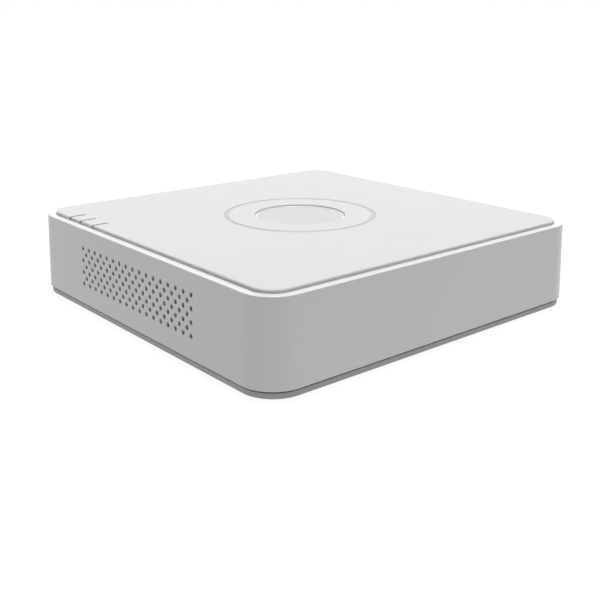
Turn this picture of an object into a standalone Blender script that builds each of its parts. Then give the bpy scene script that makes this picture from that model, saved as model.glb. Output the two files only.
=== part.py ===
"""Compact video recorder: plastic case, rear sockets, main board, fan and hard disk.

Lengths here are millimetres, and MM turns them into Blender's metres.
Frame: +Z up, vent grille facing -Y, rear sockets facing +Y, origin on the floor under the
middle of the whole recorder. Every piece is placed from the middle of the case, which lies
SOCKET_REACH / 2 in front of the origin.
"""

import math

import bmesh
import bpy
from mathutils import Matrix, Vector

MM = 0.001
GAP = 0.3                      # clearance between neighbouring pieces
ROUND = 16                     # sides of an ordinary round piece
CORNER_STEPS = 5               # chords in each rounded corner of the case

# Case shell
CASE_HALF = 100.0              # half width at the shell's bottom edge
CASE_CORNER = 16.7
DRAFT = 1.8                    # lean of each wall, from bottom edge to ledge
SHELL_BOTTOM = 5.3
LEDGE_Z = 43.5                 # outer edge of the ledge round the top panel
LEDGE_ROUND = 0.7
POCKET_Z = 42.5
ROOF_Z = 40.5
WALL = 2.0
CASE_TOP = 45.0
PANEL_INSET = 6.1              # from the shell's bottom edge to the top panel's edge
PANEL_CORNER = 10.6
PANEL_ROUND = 0.4

# Top panel
RING_RADIUS = 37.9
RING_WIDTH = 2.4
RING_DEPTH = 0.4
RING_SIDES = 36
DISH_RADIUS = 23.3
DISH_EDGE_Z = 44.3
DISH_SAG = 0.5
DISH_SIDES = 28
LIGHT_X = (-69.5, -58.4, -45.5)
LIGHT_NAMES = ("power", "disk", "network")
LIGHT_WIDTH = 0.8
LIGHT_TOP = CASE_TOP - 0.1
LIGHT_BACK = -85.6
LIGHT_STEM = (-92.4, -87.0)
LIGHT_STEM_BOTTOM = 36.9

# Vent grille in the front wall
VENT_PITCH = 6.0
VENT_COLUMNS = 17
VENT_ROWS = 7
VENT_FIRST_Z = 15.9
VENT_RADIUS = 1.14
GRILLE_WALL = 1.2              # the front wall is thinned to this behind the vents
GRILLE_MARGIN = 3.0            # from the outer vents to the edge of the thin area

# Base tray
TRAY_BOTTOM = 1.7
TRAY_FLOOR = 3.9
TRAY_BAND_TOP = 4.5
TRAY_INSET = 0.93
TRAY_CORNER = 15.8
TRAY_ROUND = 0.6
LIP_HALF = 97.4
LIP_TOP = 9.0
LIP_WALL = 1.8
FOOT_AT = 74.0
FOOT_RADIUS = 6.0
FOOT_CHAMFER = 0.4
FOOT_TOP = 2.4
SCREW_AT = 87.0
SCREW_HEAD_RADIUS = 3.0
SCREW_SHANK_RADIUS = 1.4
SCREW_BOSS_RADIUS = 4.4
SCREW_BOSS_TOP = 7.6
SCREW_TIP = 20.0
POST_RADIUS = 3.2
LIGHT_POST_RADIUS = 2.0
POST_ROOT = TRAY_FLOOR - 0.8    # posts and ribs start inside the tray's floor
RIB_X = (-82.5, -44.5, 26.0, 82.5)
RIB_HALF = 0.8
FLOOR_SLOT = (36.0, 3.0)
FLOOR_SLOT_ROWS = (-60.0, 46.0)
FLOOR_SLOT_COUNT = 5
FLOOR_SLOT_STEP = 8.0

# Rear panel and the notch in the shell that shows it
NOTCH_HALF = 84.0
NOTCH_TOP = 39.0
PANEL_HALF = 86.0
REAR_FACE = 95.5               # outer face of the rear panel
REAR_THICK = 1.2
REAR_BOTTOM = 4.2
REAR_TOP = 40.0
SOCKET_BACK = REAR_FACE - REAR_THICK - GAP

# Rear sockets
SOCKET_REACH = 10.0            # how far the video sockets stand past the shell
VIDEO_X = (-72.0, -54.0)
VIDEO_Z = (16.2, 31.1)
VIDEO_BLOCK = (14.4, 18.0, 14.6)
VIDEO_THREAD_RADIUS = 5.2
VIDEO_BARREL_RADIUS = 4.8
VIDEO_NUT_FLATS = 13.4
VIDEO_NUT_THICK = 2.0
AUDIO_X = -36.0
AUDIO_Z = (15.0, 27.3)
AUDIO_BLOCK = (10.4, 13.0, 12.0)
AUDIO_RADIUS = 4.15
AUDIO_TIP = 105.0
VGA_X = -10.0
VGA_Z = 15.2
VGA_BLOCK = (30.8, 15.0, 12.5)
VGA_SHELL = (17.0, 8.4)
VGA_TIP = 101.5
VGA_LEAN = 1.6                 # how far each side of the D leans in towards the bottom
VGA_CORNER = 1.5
VGA_POST_SPACING = 25.0
VGA_SCREW_HOLE = 1.7
HDMI_X = 16.5
HDMI_SIZE = (15.2, 13.5, 6.2)
HDMI_TIP = REAR_FACE + 1.5
HDMI_PORT = (14.2, 9.0, 4.8)
HDMI_TONGUE = (11.0, 1.4)
NETWORK_X = 36.5
NETWORK_SIZE = (16.0, 21.5, 13.6)
NETWORK_TIP = REAR_FACE + 2.0
NETWORK_PORT = (11.8, 14.0, 8.2)
NETWORK_LATCH = (6.2, 10.0, 3.4)
USB_X = 54.5
USB_SIZE = (14.4, 19.0, 16.0)
USB_TIP = REAR_FACE + 2.5
USB_LEVELS = (4.2, 11.8)       # middles of the two ports, above the socket's underside
USB_PORT = (12.8, 13.0, 5.6)
USB_TONGUE = (11.0, 1.8)
POWER_X = 69.5
POWER_SIZE = (9.0, 15.0, 11.0)
POWER_TIP = REAR_FACE + 2.0
POWER_BORE = 3.15
POWER_PIN_RADIUS = 1.0
GROUND_X = 79.0
GROUND_Z = 14.0
GROUND_HEAD_RADIUS = 3.5
GROUND_SHANK_RADIUS = 1.8

# Main board
BOARD_HALF = 80.0
BOARD_FRONT = 19.0
BOARD_REAR = 93.0
BOARD_BOTTOM = 7.0
BOARD_TOP = 8.6
PART_Z = BOARD_TOP + GAP       # underside of everything that stands on the board
BOARD_POSTS = ((-76.0, 24.0), (76.0, 24.0), (-76.0, 70.0), (76.0, 70.0))
CHIP_X = 5.0
CHIP_Y = 44.0
PROCESSOR_WIDTH = 27.0
MEMORY_PLACES = ((38.0, 36.0), (38.0, 53.0))
MEMORY_SIZE = (9.0, 13.0, 1.2)
DECODER_AT = (-56.0, 56.0)
DECODER_SIZE = (20.0, 20.0, 1.6)
CELL_AT = (-58.0, 33.0)
CELL_RADIUS = 10.0
CELL_FLOOR = PART_Z + 1.0       # bottom of the holder's pocket
BUZZER_AT = (-32.0, 34.0)
BUZZER_RADIUS = 6.0
CAPACITOR_X = (58.0, 69.0)
CAPACITOR_Y = 62.0
CAPACITOR_RADIUS = 4.0
INDUCTOR_AT = (63.0, 46.0)
INDUCTOR_HALF = 5.0
SINK_HALF = 20.0
SINK_Z = 11.2
SINK_BASE = 2.5
SINK_TOP = 21.5
SINK_FINS = 9
SINK_FIN_WIDTH = 1.4

# Fan on the heat sink
FAN_BOTTOM = 21.8
FAN_HEIGHT = 10.0
FAN_BORE = 18.8
FAN_BLADES = 7
FAN_BLADE_TIP = 18.0
FAN_HUB_RADIUS = 8.0
FAN_SCREW_AT = 16.0
FAN_STRUT_HALF = 1.0
FAN_SHAFT_RADIUS = 1.0
FAN_BLADE_HALF = (4.2, 0.5)
FAN_BLADE_PITCH = math.radians(38)

# Hard disk
DISK_LEFT = -80.0
DISK_RIGHT = 67.0
DISK_FRONT = -87.0
DISK_BACK = 14.6
DISK_BOTTOM = 6.0
DISK_TOP = 32.1
DISK_WALL = 2.3
DISK_FLOOR = 11.0
DISK_RIM = 30.3
DISK_CAVITY_RIGHT = 57.5
DISK_PIN_TOP = 24.0
DISK_MOUNT_REACH = (41.3, 117.5)   # from the connector end to the two pairs of mounts
DISK_MOUNT_INSET = 3.2
SPINDLE = (-27.0, -36.2)
PLATTER_RADIUS = 47.5
PLATTER_Z = (15.0, 21.5)
PLATTER_THICK = 1.2
HUB_RADIUS = 14.0
HUB_Z = (12.5, 26.5)
SPINDLE_RADIUS = 4.0
ARM_PIVOT = (31.0, -58.0)
ARM_PIN_RADIUS = 2.5
ARM_HUB_RADIUS = 7.0
ARM_HUB_Z = (12.0, 26.0)
ARM_LENGTH = 52.0
ARM_TAIL = 22.0
ARM_REST = math.radians(109.4)
ARM_LEVELS = (13.0, 18.3, 23.5)

# Light board and cables
LIGHT_BOARD = (-76.0, -39.0, -95.0, -83.5)
LIGHT_BOARD_Z = 34.0
LIGHT_POSTS = ((-73.0, -91.2), (-42.0, -91.2))
DISK_PLUG_Z = 10.5
SATA_AT = (70.0, 30.0)
SATA_TOP = PART_Z + 8.0


# ---------------------------------------------------------------- scene and materials

def clear_scene():
    for thing in list(bpy.data.objects):
        bpy.data.objects.remove(thing, do_unlink=True)


def make_collection(name):
    collection = bpy.data.collections.new(name)
    bpy.context.scene.collection.children.link(collection)
    return collection


def make_material(name, color, roughness, metallic=0.0):
    material = bpy.data.materials.new(name)
    material.use_nodes = True
    shader = material.node_tree.nodes["Principled BSDF"]
    shader.inputs["Base Color"].default_value = (*color, 1.0)
    shader.inputs["Roughness"].default_value = roughness
    shader.inputs["Metallic"].default_value = metallic
    return material


clear_scene()
PARTS = make_collection("dvr_recorder")
CUTTERS = make_collection("cutters")
CASE_ORIGIN = bpy.data.objects.new("case_middle", None)
CASE_ORIGIN.location = (0.0, -SOCKET_REACH / 2 * MM, 0.0)
PARTS.objects.link(CASE_ORIGIN)

WHITE_PLASTIC = make_material("white_plastic", (0.80, 0.80, 0.80), 0.42)
GLOSS_PANEL = make_material("gloss_panel", (0.84, 0.84, 0.84), 0.25)
TRAY_PLASTIC = make_material("tray_plastic", (0.62, 0.62, 0.62), 0.50)
CLEAR_PLASTIC = make_material("clear_plastic", (0.72, 0.75, 0.76), 0.20)
RUBBER = make_material("rubber", (0.03, 0.03, 0.03), 0.85)
ZINC_STEEL = make_material("zinc_steel", (0.62, 0.63, 0.64), 0.35, 0.9)
NICKEL = make_material("nickel", (0.72, 0.70, 0.66), 0.25, 1.0)
BLACK_PLASTIC = make_material("black_plastic", (0.02, 0.02, 0.02), 0.45)
BLUE_PLASTIC = make_material("blue_plastic", (0.02, 0.07, 0.35), 0.45)
RED_PLASTIC = make_material("red_plastic", (0.50, 0.02, 0.02), 0.40)
CREAM_PLASTIC = make_material("cream_plastic", (0.75, 0.72, 0.62), 0.50)
BOARD_GREEN = make_material("board_green", (0.01, 0.16, 0.07), 0.35)
CHIP_BLACK = make_material("chip_black", (0.03, 0.03, 0.035), 0.55)
ALUMINIUM = make_material("aluminium", (0.75, 0.76, 0.78), 0.35, 1.0)
FERRITE = make_material("ferrite", (0.12, 0.12, 0.12), 0.60)
MIRROR_METAL = make_material("mirror_metal", (0.85, 0.85, 0.86), 0.08, 1.0)


# ---------------------------------------------------------------- modelling helpers

def add_object(name, mesh, material):
    """Link a mesh as a named piece of the recorder."""
    piece = bpy.data.objects.new(name, mesh)
    mesh.materials.append(material)
    PARTS.objects.link(piece)
    piece.parent = CASE_ORIGIN
    return piece


def smooth(mesh):
    mesh.shade_smooth()
    mesh.set_sharp_from_angle(angle=math.radians(35))


def mesh_of(name, bm, place=Vector()):
    """Finish a bmesh drawn in case coordinates, and measure it from the point place."""
    bmesh.ops.recalc_face_normals(bm, faces=bm.faces)
    bmesh.ops.translate(bm, vec=-Vector(place), verts=bm.verts)
    bmesh.ops.scale(bm, vec=(MM, MM, MM), verts=bm.verts)
    mesh = bpy.data.meshes.new(name)
    bm.to_mesh(mesh)
    bm.free()
    return mesh


def piece_of(name, bm, material, origin=(0.0, 0.0, 0.0)):
    """Make a piece from a bmesh, with its own origin at the given case coordinates."""
    mesh = mesh_of(name, bm, origin)
    smooth(mesh)
    piece = add_object(name, mesh, material)
    piece.location = Vector(origin) * MM
    return piece


def add_box(bm, low, high):
    """A box between two opposite corners."""
    low = Vector(low)
    high = Vector(high)
    size = high - low
    matrix = Matrix.Translation((low + high) / 2) @ Matrix.Diagonal((*size, 1.0))
    return bmesh.ops.create_cube(bm, size=1.0, matrix=matrix)["verts"]


def add_rounded_box(bm, low, high, radius, steps=2, edges_along=2):
    """A box whose four edges along one axis are rounded."""
    corners = add_box(bm, low, high)
    edges = []
    for edge in {edge for corner in corners for edge in corner.link_edges}:
        along = edge.verts[0].co - edge.verts[1].co
        if abs(along[edges_along]) > along.length * 0.9:
            edges.append(edge)
    bmesh.ops.bevel(bm, geom=edges, offset=radius, offset_type="OFFSET", segments=steps,
                    profile=0.5, affect="EDGES", clamp_overlap=True)


def add_cylinder(bm, centre, radius, start, end, axis="Z", sides=ROUND, top_radius=None):
    """A cylinder or cone from start to end along an axis; centre gives the other two places."""
    if top_radius is None:
        top_radius = radius
    middle = (start + end) / 2
    if axis == "Z":
        place = Vector((centre[0], centre[1], middle))
        turn = Matrix.Identity(4)
    elif axis == "Y":
        place = Vector((centre[0], middle, centre[1]))
        turn = Matrix.Rotation(-math.pi / 2, 4, "X")
    else:
        place = Vector((middle, centre[0], centre[1]))
        turn = Matrix.Rotation(math.pi / 2, 4, "Y")
    bmesh.ops.create_cone(bm, cap_ends=True, segments=sides, radius1=radius,
                          radius2=top_radius, depth=end - start,
                          matrix=Matrix.Translation(place) @ turn)


def turned(name, profile, material, origin, along_y=False, sides=ROUND):
    """A solid of revolution. The profile is (radius, height) down the outer side."""
    mesh = bpy.data.meshes.new(name)
    closed = profile[0][0] > 0.0
    points = [Vector((radius, 0.0, height)) * MM for radius, height in profile]
    edges = [(i, i + 1) for i in range(len(points) - 1)]
    if closed:
        edges.append((len(points) - 1, 0))
    mesh.from_pydata(points, edges, [])
    piece = add_object(name, mesh, material)
    piece.location = Vector(origin) * MM
    if along_y:
        piece.rotation_euler.x = -math.pi / 2
    screw = piece.modifiers.new("turn", "SCREW")
    screw.steps = sides
    screw.render_steps = sides
    screw.use_merge_vertices = True
    screw.merge_threshold = 0.00001
    screw.use_smooth_shade = True
    return piece


def as_tool(name, bm):
    """A hidden object that cuts or joins another one."""
    tool = bpy.data.objects.new(name, mesh_of(name, bm))
    CUTTERS.objects.link(tool)
    tool.parent = CASE_ORIGIN
    tool.hide_render = True
    tool.display_type = "WIRE"
    return tool


def combine(piece, operation, bm):
    """Join (UNION) or cut (DIFFERENCE) a piece with shapes drawn in case coordinates."""
    count = len(piece.modifiers)
    modifier = piece.modifiers.new(operation.lower(), "BOOLEAN")
    modifier.object = as_tool(f"{piece.name}_{operation.lower()}_{count}", bm)
    modifier.operation = operation
    modifier.solver = "EXACT"


def rounded_square(half, radius, height):
    """Corner points of a square with rounded corners, anticlockwise."""
    points = []
    for corner in range(4):
        start = corner * math.pi / 2
        middle = Matrix.Rotation(start, 3, "Z") @ Vector((half - radius, half - radius, height))
        for step in range(CORNER_STEPS + 1):
            angle = start + math.pi / 2 * step / CORNER_STEPS
            points.append(middle + radius * Vector((math.cos(angle), math.sin(angle), 0.0)))
    return points


def add_loft(bm, rings):
    """A closed skin over a stack of matching outlines, with a cap on the first and last."""
    loops = [[bm.verts.new(point) for point in ring] for ring in rings]
    count = len(loops[0])
    for lower, upper in zip(loops, loops[1:]):
        for i in range(count):
            j = (i + 1) % count
            bm.faces.new((lower[i], lower[j], upper[j], upper[i]))
    bm.faces.new(loops[0])
    bm.faces.new(loops[-1])


def smooth_path(points, per_span=3):
    """Points of a Catmull-Rom curve through the given points."""
    ends = [2 * points[0] - points[1], *points, 2 * points[-1] - points[-2]]
    path = [points[0]]
    for before, start, end, after in zip(ends, ends[1:], ends[2:], ends[3:]):
        for step in range(1, per_span + 1):
            t = step / per_span
            path.append(0.5 * (2 * start + (end - before) * t
                               + (2 * before - 5 * start + 4 * end - after) * t * t
                               + (3 * start - before - 3 * end + after) * t * t * t))
    return path


def tube(name, route, radius, material):
    """A round cable through the route's points, as a closed mesh."""
    path = smooth_path([Vector(point) for point in route])
    curve = bpy.data.curves.new(name, "CURVE")
    curve.dimensions = "3D"
    curve.bevel_depth = radius * MM
    curve.bevel_resolution = 2
    curve.use_fill_caps = True
    spline = curve.splines.new("POLY")
    spline.points.add(len(path) - 1)
    for knot, point in zip(spline.points, path):
        knot.co = (*(point * MM), 1.0)
    guide = bpy.data.objects.new(name + "_route", curve)
    CUTTERS.objects.link(guide)
    graph = bpy.context.evaluated_depsgraph_get()
    mesh = bpy.data.meshes.new_from_object(guide.evaluated_get(graph))
    mesh.name = name
    bpy.data.objects.remove(guide, do_unlink=True)
    bm = bmesh.new()
    bm.from_mesh(mesh)
    bmesh.ops.remove_doubles(bm, verts=bm.verts, dist=0.00001)
    bmesh.ops.recalc_face_normals(bm, faces=bm.faces)
    bm.to_mesh(mesh)
    bm.free()
    mesh.materials.clear()
    smooth(mesh)
    return add_object(name, mesh, material)


# ---------------------------------------------------------------- case

def corners(distance):
    return [(x, y) for y in (-distance, distance) for x in (-distance, distance)]


def case_outline(inset, height, corner=CASE_CORNER):
    return rounded_square(CASE_HALF - inset, corner - inset, height)


def wall_lean(height):
    """How far the shell's walls have leaned in at a height."""
    return DRAFT * (height - SHELL_BOTTOM) / (LEDGE_Z - LEDGE_ROUND - SHELL_BOTTOM)


def make_top_cover():
    """Drafted shell with a ledge round a pocket, vent holes, bosses and a rear notch."""
    rings = [
        case_outline(WALL + DRAFT, ROOF_Z),
        case_outline(WALL, SHELL_BOTTOM),
        case_outline(0.0, SHELL_BOTTOM),
        case_outline(DRAFT, LEDGE_Z - LEDGE_ROUND),
        case_outline(DRAFT + 0.3 * LEDGE_ROUND, LEDGE_Z - 0.3 * LEDGE_ROUND),
        case_outline(DRAFT + LEDGE_ROUND, LEDGE_Z),
        case_outline(PANEL_INSET - GAP, LEDGE_Z + 0.15),
        case_outline(PANEL_INSET - GAP, POCKET_Z),
    ]
    bm = bmesh.new()
    add_loft(bm, rings)
    cover = piece_of("top_cover", bm, WHITE_PLASTIC)

    bosses = bmesh.new()
    for place in corners(SCREW_AT):
        add_cylinder(bosses, place, SCREW_BOSS_RADIUS, SCREW_BOSS_TOP + GAP, ROOF_Z + 0.8, sides=12)
    combine(cover, "UNION", bosses)

    thinning = bmesh.new()
    half = (VENT_COLUMNS - 1) / 2 * VENT_PITCH + GRILLE_MARGIN
    grille_top = VENT_FIRST_Z + (VENT_ROWS - 1) / 2 * VENT_PITCH
    add_box(thinning, (-half, -CASE_HALF + GRILLE_WALL, VENT_FIRST_Z - GRILLE_MARGIN),
            (half, -CASE_HALF + WALL + 1, grille_top + GRILLE_MARGIN))
    for corner in thinning.verts:
        corner.co.y += wall_lean(corner.co.z)
    combine(cover, "DIFFERENCE", thinning)

    cuts = bmesh.new()
    for row in range(VENT_ROWS):
        columns = VENT_COLUMNS - row % 2
        for column in range(columns):
            x = (column - (columns - 1) / 2) * VENT_PITCH
            z = VENT_FIRST_Z + row * VENT_PITCH / 2
            add_cylinder(cuts, (x, z), VENT_RADIUS, -CASE_HALF - 1, -CASE_HALF + 5, "Y", 6)
    add_box(cuts, (-NOTCH_HALF, CASE_HALF - 9, 0), (NOTCH_HALF, CASE_HALF + 2, NOTCH_TOP))
    for x in LIGHT_X:
        half = LIGHT_WIDTH / 2 + GAP
        add_box(cuts, (x - half, LIGHT_STEM[0] - GAP, ROOF_Z - 1),
                (x + half, LIGHT_STEM[1] + GAP, POCKET_Z + 0.6))
    for place in corners(SCREW_AT):
        add_cylinder(cuts, place, SCREW_SHANK_RADIUS + GAP, SCREW_BOSS_TOP - 1, SCREW_TIP + 1, sides=10)
    combine(cover, "DIFFERENCE", cuts)


def make_top_panel():
    """Raised panel with a ring groove, a round opening and three light slots."""
    outline = PANEL_INSET
    corner = PANEL_CORNER + PANEL_INSET
    bm = bmesh.new()
    add_loft(bm, [
        case_outline(outline, POCKET_Z + GAP, corner),
        case_outline(outline, CASE_TOP - PANEL_ROUND, corner),
        case_outline(outline + 0.3 * PANEL_ROUND, CASE_TOP - 0.3 * PANEL_ROUND, corner),
        case_outline(outline + PANEL_ROUND, CASE_TOP, corner),
    ])
    panel = piece_of("top_panel", bm, GLOSS_PANEL)

    cuts = bmesh.new()
    add_cylinder(cuts, (0, 0), DISH_RADIUS, POCKET_Z - 1, CASE_TOP + 1, sides=DISH_SIDES)
    for x in LIGHT_X:
        half = LIGHT_WIDTH / 2 + GAP
        add_box(cuts, (x - half, -CASE_HALF, POCKET_Z - 1),
                (x + half, LIGHT_BACK + GAP, CASE_TOP + 1))
    combine(panel, "DIFFERENCE", cuts)

    ring = bmesh.new()
    inner = RING_RADIUS - RING_WIDTH / 2
    outer = RING_RADIUS + RING_WIDTH / 2
    low = CASE_TOP - RING_DEPTH
    high = CASE_TOP + 1
    section = [(inner, high), (inner, low), (outer, low), (outer, high)]
    loops = []
    for step in range(RING_SIDES):
        angle = 2 * math.pi * step / RING_SIDES
        across = Vector((math.cos(angle), math.sin(angle), 0.0))
        loops.append([ring.verts.new(across * r + Vector((0, 0, z))) for r, z in section])
    for this, following in zip(loops, loops[1:] + loops[:1]):
        for i in range(len(section)):
            j = (i + 1) % len(section)
            ring.faces.new((this[i], this[j], following[j], following[i]))
    combine(panel, "DIFFERENCE", ring)


def make_dish():
    """Round dished inlay at the bottom of the panel's opening."""
    radius = DISH_RADIUS - GAP
    profile = [(0.0, DISH_EDGE_Z - DISH_SAG)]
    steps = 3
    for step in range(1, steps + 1):
        share = step / steps
        profile.append((radius * share, DISH_EDGE_Z - DISH_SAG * (1 - share * share)))
    profile.append((radius, POCKET_Z + GAP))
    profile.append((0.0, POCKET_Z + GAP))
    turned("dish_inlay", profile, GLOSS_PANEL, (0, 0, 0), sides=DISH_SIDES)


def make_light_pipes():
    """Clear blades that carry light from the light board up to the panel."""
    half = LIGHT_WIDTH / 2
    front = -CASE_HALF + PANEL_INSET + PANEL_ROUND
    for name, x in zip(LIGHT_NAMES, LIGHT_X):
        bm = bmesh.new()
        add_box(bm, (x - half, front, POCKET_Z + GAP), (x + half, LIGHT_BACK, LIGHT_TOP))
        pipe = piece_of("light_pipe_" + name, bm, CLEAR_PLASTIC)
        stem = bmesh.new()
        add_box(stem, (x - half, LIGHT_STEM[0], LIGHT_STEM_BOTTOM),
                (x + half, LIGHT_STEM[1], CASE_TOP - 1))
        combine(pipe, "UNION", stem)


def make_base_tray():
    """Base with an outer band, a lip inside the shell, posts, ribs and floor vents."""
    lip_corner = CASE_CORNER
    lip_inset = CASE_HALF - LIP_HALF
    band_corner = TRAY_CORNER + TRAY_INSET
    bm = bmesh.new()
    add_loft(bm, [
        case_outline(TRAY_INSET + TRAY_ROUND, TRAY_BOTTOM, band_corner),
        case_outline(TRAY_INSET + 0.3 * TRAY_ROUND, TRAY_BOTTOM + 0.3 * TRAY_ROUND, band_corner),
        case_outline(TRAY_INSET, TRAY_BOTTOM + TRAY_ROUND, band_corner),
        case_outline(TRAY_INSET, TRAY_BAND_TOP, band_corner),
        case_outline(lip_inset, TRAY_BAND_TOP, lip_corner),
        case_outline(lip_inset, LIP_TOP, lip_corner),
        case_outline(lip_inset + LIP_WALL, LIP_TOP, lip_corner),
        case_outline(lip_inset + LIP_WALL, TRAY_FLOOR, lip_corner),
    ])
    tray = piece_of("base_tray", bm, TRAY_PLASTIC)

    notch = bmesh.new()
    lip_inner = LIP_HALF - LIP_WALL
    add_box(notch, (-PANEL_HALF - GAP, lip_inner - 3, TRAY_FLOOR),
            (PANEL_HALF + GAP, CASE_HALF + 1, LIP_TOP + 1))
    combine(tray, "DIFFERENCE", notch)

    posts = bmesh.new()
    for place in corners(SCREW_AT):
        add_cylinder(posts, place, SCREW_BOSS_RADIUS, POST_ROOT, SCREW_BOSS_TOP, sides=12)
    for place in BOARD_POSTS:
        add_cylinder(posts, place, POST_RADIUS, POST_ROOT, BOARD_BOTTOM - GAP, sides=10)
    for place in disk_mounts():
        add_cylinder(posts, place, POST_RADIUS, POST_ROOT, DISK_BOTTOM - GAP, sides=10)
    for place in LIGHT_POSTS:
        add_cylinder(posts, place, LIGHT_POST_RADIUS, POST_ROOT, LIGHT_BOARD_Z - GAP, sides=8)
    for x in RIB_X:
        add_box(posts, (x - RIB_HALF, BOARD_REAR + GAP, POST_ROOT), (x + RIB_HALF, SOCKET_BACK, BOARD_BOTTOM))
    combine(tray, "UNION", posts)

    cuts = bmesh.new()
    for place in corners(FOOT_AT):
        add_cylinder(cuts, place, FOOT_RADIUS + GAP, 0, FOOT_TOP + GAP, sides=16)
    for place in corners(SCREW_AT):
        add_cylinder(cuts, place, SCREW_HEAD_RADIUS + GAP, 0, TRAY_FLOOR + 0.2, sides=12)
    for row_y in FLOOR_SLOT_ROWS:
        for step in range(FLOOR_SLOT_COUNT):
            slot_y = row_y + (step - (FLOOR_SLOT_COUNT - 1) / 2) * FLOOR_SLOT_STEP
            add_box(cuts, (-FLOOR_SLOT[0] / 2, slot_y - FLOOR_SLOT[1] / 2, 0),
                    (FLOOR_SLOT[0] / 2, slot_y + FLOOR_SLOT[1] / 2, TRAY_FLOOR + 1))
    combine(tray, "DIFFERENCE", cuts)
    holes = bmesh.new()
    for place in corners(SCREW_AT):
        add_cylinder(holes, place, SCREW_SHANK_RADIUS + GAP, 1, SCREW_BOSS_TOP + 1, sides=10)
    combine(tray, "DIFFERENCE", holes)


def disk_mounts():
    """Places of the four posts under the hard disk."""
    xs = [DISK_RIGHT - reach for reach in DISK_MOUNT_REACH]
    ys = (DISK_FRONT + DISK_MOUNT_INSET, DISK_BACK - DISK_MOUNT_INSET)
    return [(x, y) for x in xs for y in ys]


def make_feet():
    for name, place in zip(("front_left", "front_right", "rear_left", "rear_right"),
                           corners(FOOT_AT)):
        bm = bmesh.new()
        add_cylinder(bm, place, FOOT_RADIUS - FOOT_CHAMFER, 0, FOOT_CHAMFER, sides=16,
                     top_radius=FOOT_RADIUS)
        bmesh.ops.delete(bm, geom=[face for face in bm.faces
                                   if face.calc_center_median().z > 0.9 * FOOT_CHAMFER],
                         context="FACES_ONLY")
        top = [edge for edge in bm.edges if edge.is_boundary]
        raised = bmesh.ops.extrude_edge_only(bm, edges=top)["geom"]
        rim = [item for item in raised if isinstance(item, bmesh.types.BMVert)]
        bmesh.ops.translate(bm, vec=(0, 0, FOOT_TOP - FOOT_CHAMFER), verts=rim)
        bmesh.ops.holes_fill(bm, edges=[edge for edge in bm.edges if edge.is_boundary])
        piece_of("foot_" + name, bm, RUBBER, (*place, 0.0))


def make_case_screws():
    profile = [
        (0.0, SCREW_TIP),
        (SCREW_SHANK_RADIUS * 0.5, SCREW_TIP),
        (SCREW_SHANK_RADIUS, SCREW_TIP - 1.2),
        (SCREW_SHANK_RADIUS, TRAY_FLOOR - 0.1),
        (SCREW_HEAD_RADIUS, TRAY_FLOOR - 0.1),
        (SCREW_HEAD_RADIUS, TRAY_BOTTOM + 0.7),
        (SCREW_HEAD_RADIUS - 0.6, TRAY_BOTTOM + 0.3),
        (0.0, TRAY_BOTTOM + 0.3),
    ]
    for number, place in enumerate(corners(SCREW_AT), 1):
        turned(f"case_screw_{number}", profile, ZINC_STEEL, (*place, 0.0), sides=14)


def add_vga_outline(bm, grow, start, end):
    """D-shaped prism of the analogue video socket, narrower at its lower edge."""
    half = VGA_SHELL[0] / 2 + grow
    rise = VGA_SHELL[1] / 2 + grow
    shape = ((-half, rise), (-half + VGA_LEAN, -rise), (half - VGA_LEAN, -rise), (half, rise))
    front = [bm.verts.new((VGA_X + x, start, VGA_Z + z)) for x, z in shape]
    back = [bm.verts.new((VGA_X + x, end, VGA_Z + z)) for x, z in shape]
    for i in range(4):
        j = (i + 1) % 4
        bm.faces.new((front[i], front[j], back[j], back[i]))
    bm.faces.new(front)
    bm.faces.new(back)
    bmesh.ops.bevel(bm, geom=[edge for edge in bm.edges if is_vga_corner(edge)],
                    offset=VGA_CORNER, segments=2, profile=0.5, affect="EDGES")


def is_vga_corner(edge):
    along = edge.verts[0].co - edge.verts[1].co
    on_socket = abs(edge.verts[0].co.x - VGA_X) < VGA_SHELL[0]
    return abs(along.y) > along.length * 0.9 and on_socket


def make_rear_panel():
    """Steel panel with an opening for each socket."""
    bm = bmesh.new()
    add_box(bm, (-PANEL_HALF, REAR_FACE - REAR_THICK, REAR_BOTTOM),
            (PANEL_HALF, REAR_FACE, REAR_TOP))
    panel = piece_of("rear_panel", bm, ZINC_STEEL)

    near = REAR_FACE - 3
    far = REAR_FACE + 2
    cuts = bmesh.new()
    add_vga_outline(cuts, GAP, near, far)
    for x in VIDEO_X:
        for z in VIDEO_Z:
            add_cylinder(cuts, (x, z), VIDEO_THREAD_RADIUS + GAP, near, far, "Y", 16)
    for z in AUDIO_Z:
        add_cylinder(cuts, (AUDIO_X, z), AUDIO_RADIUS + 0.6, near, far, "Y")
    for side in (-0.5, 0.5):
        add_cylinder(cuts, (VGA_X + side * VGA_POST_SPACING, VGA_Z), VGA_SCREW_HOLE, near, far, "Y", 12)
    add_cylinder(cuts, (GROUND_X, GROUND_Z), GROUND_SHANK_RADIUS + GAP, near, far, "Y", 12)
    for x, size in ((HDMI_X, HDMI_SIZE), (NETWORK_X, NETWORK_SIZE),
                    (USB_X, USB_SIZE), (POWER_X, POWER_SIZE)):
        half = size[0] / 2 + GAP
        add_box(cuts, (x - half, near, PART_Z - GAP), (x + half, far, PART_Z + size[2] + GAP))
    combine(panel, "DIFFERENCE", cuts)


# ---------------------------------------------------------------- rear sockets

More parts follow.
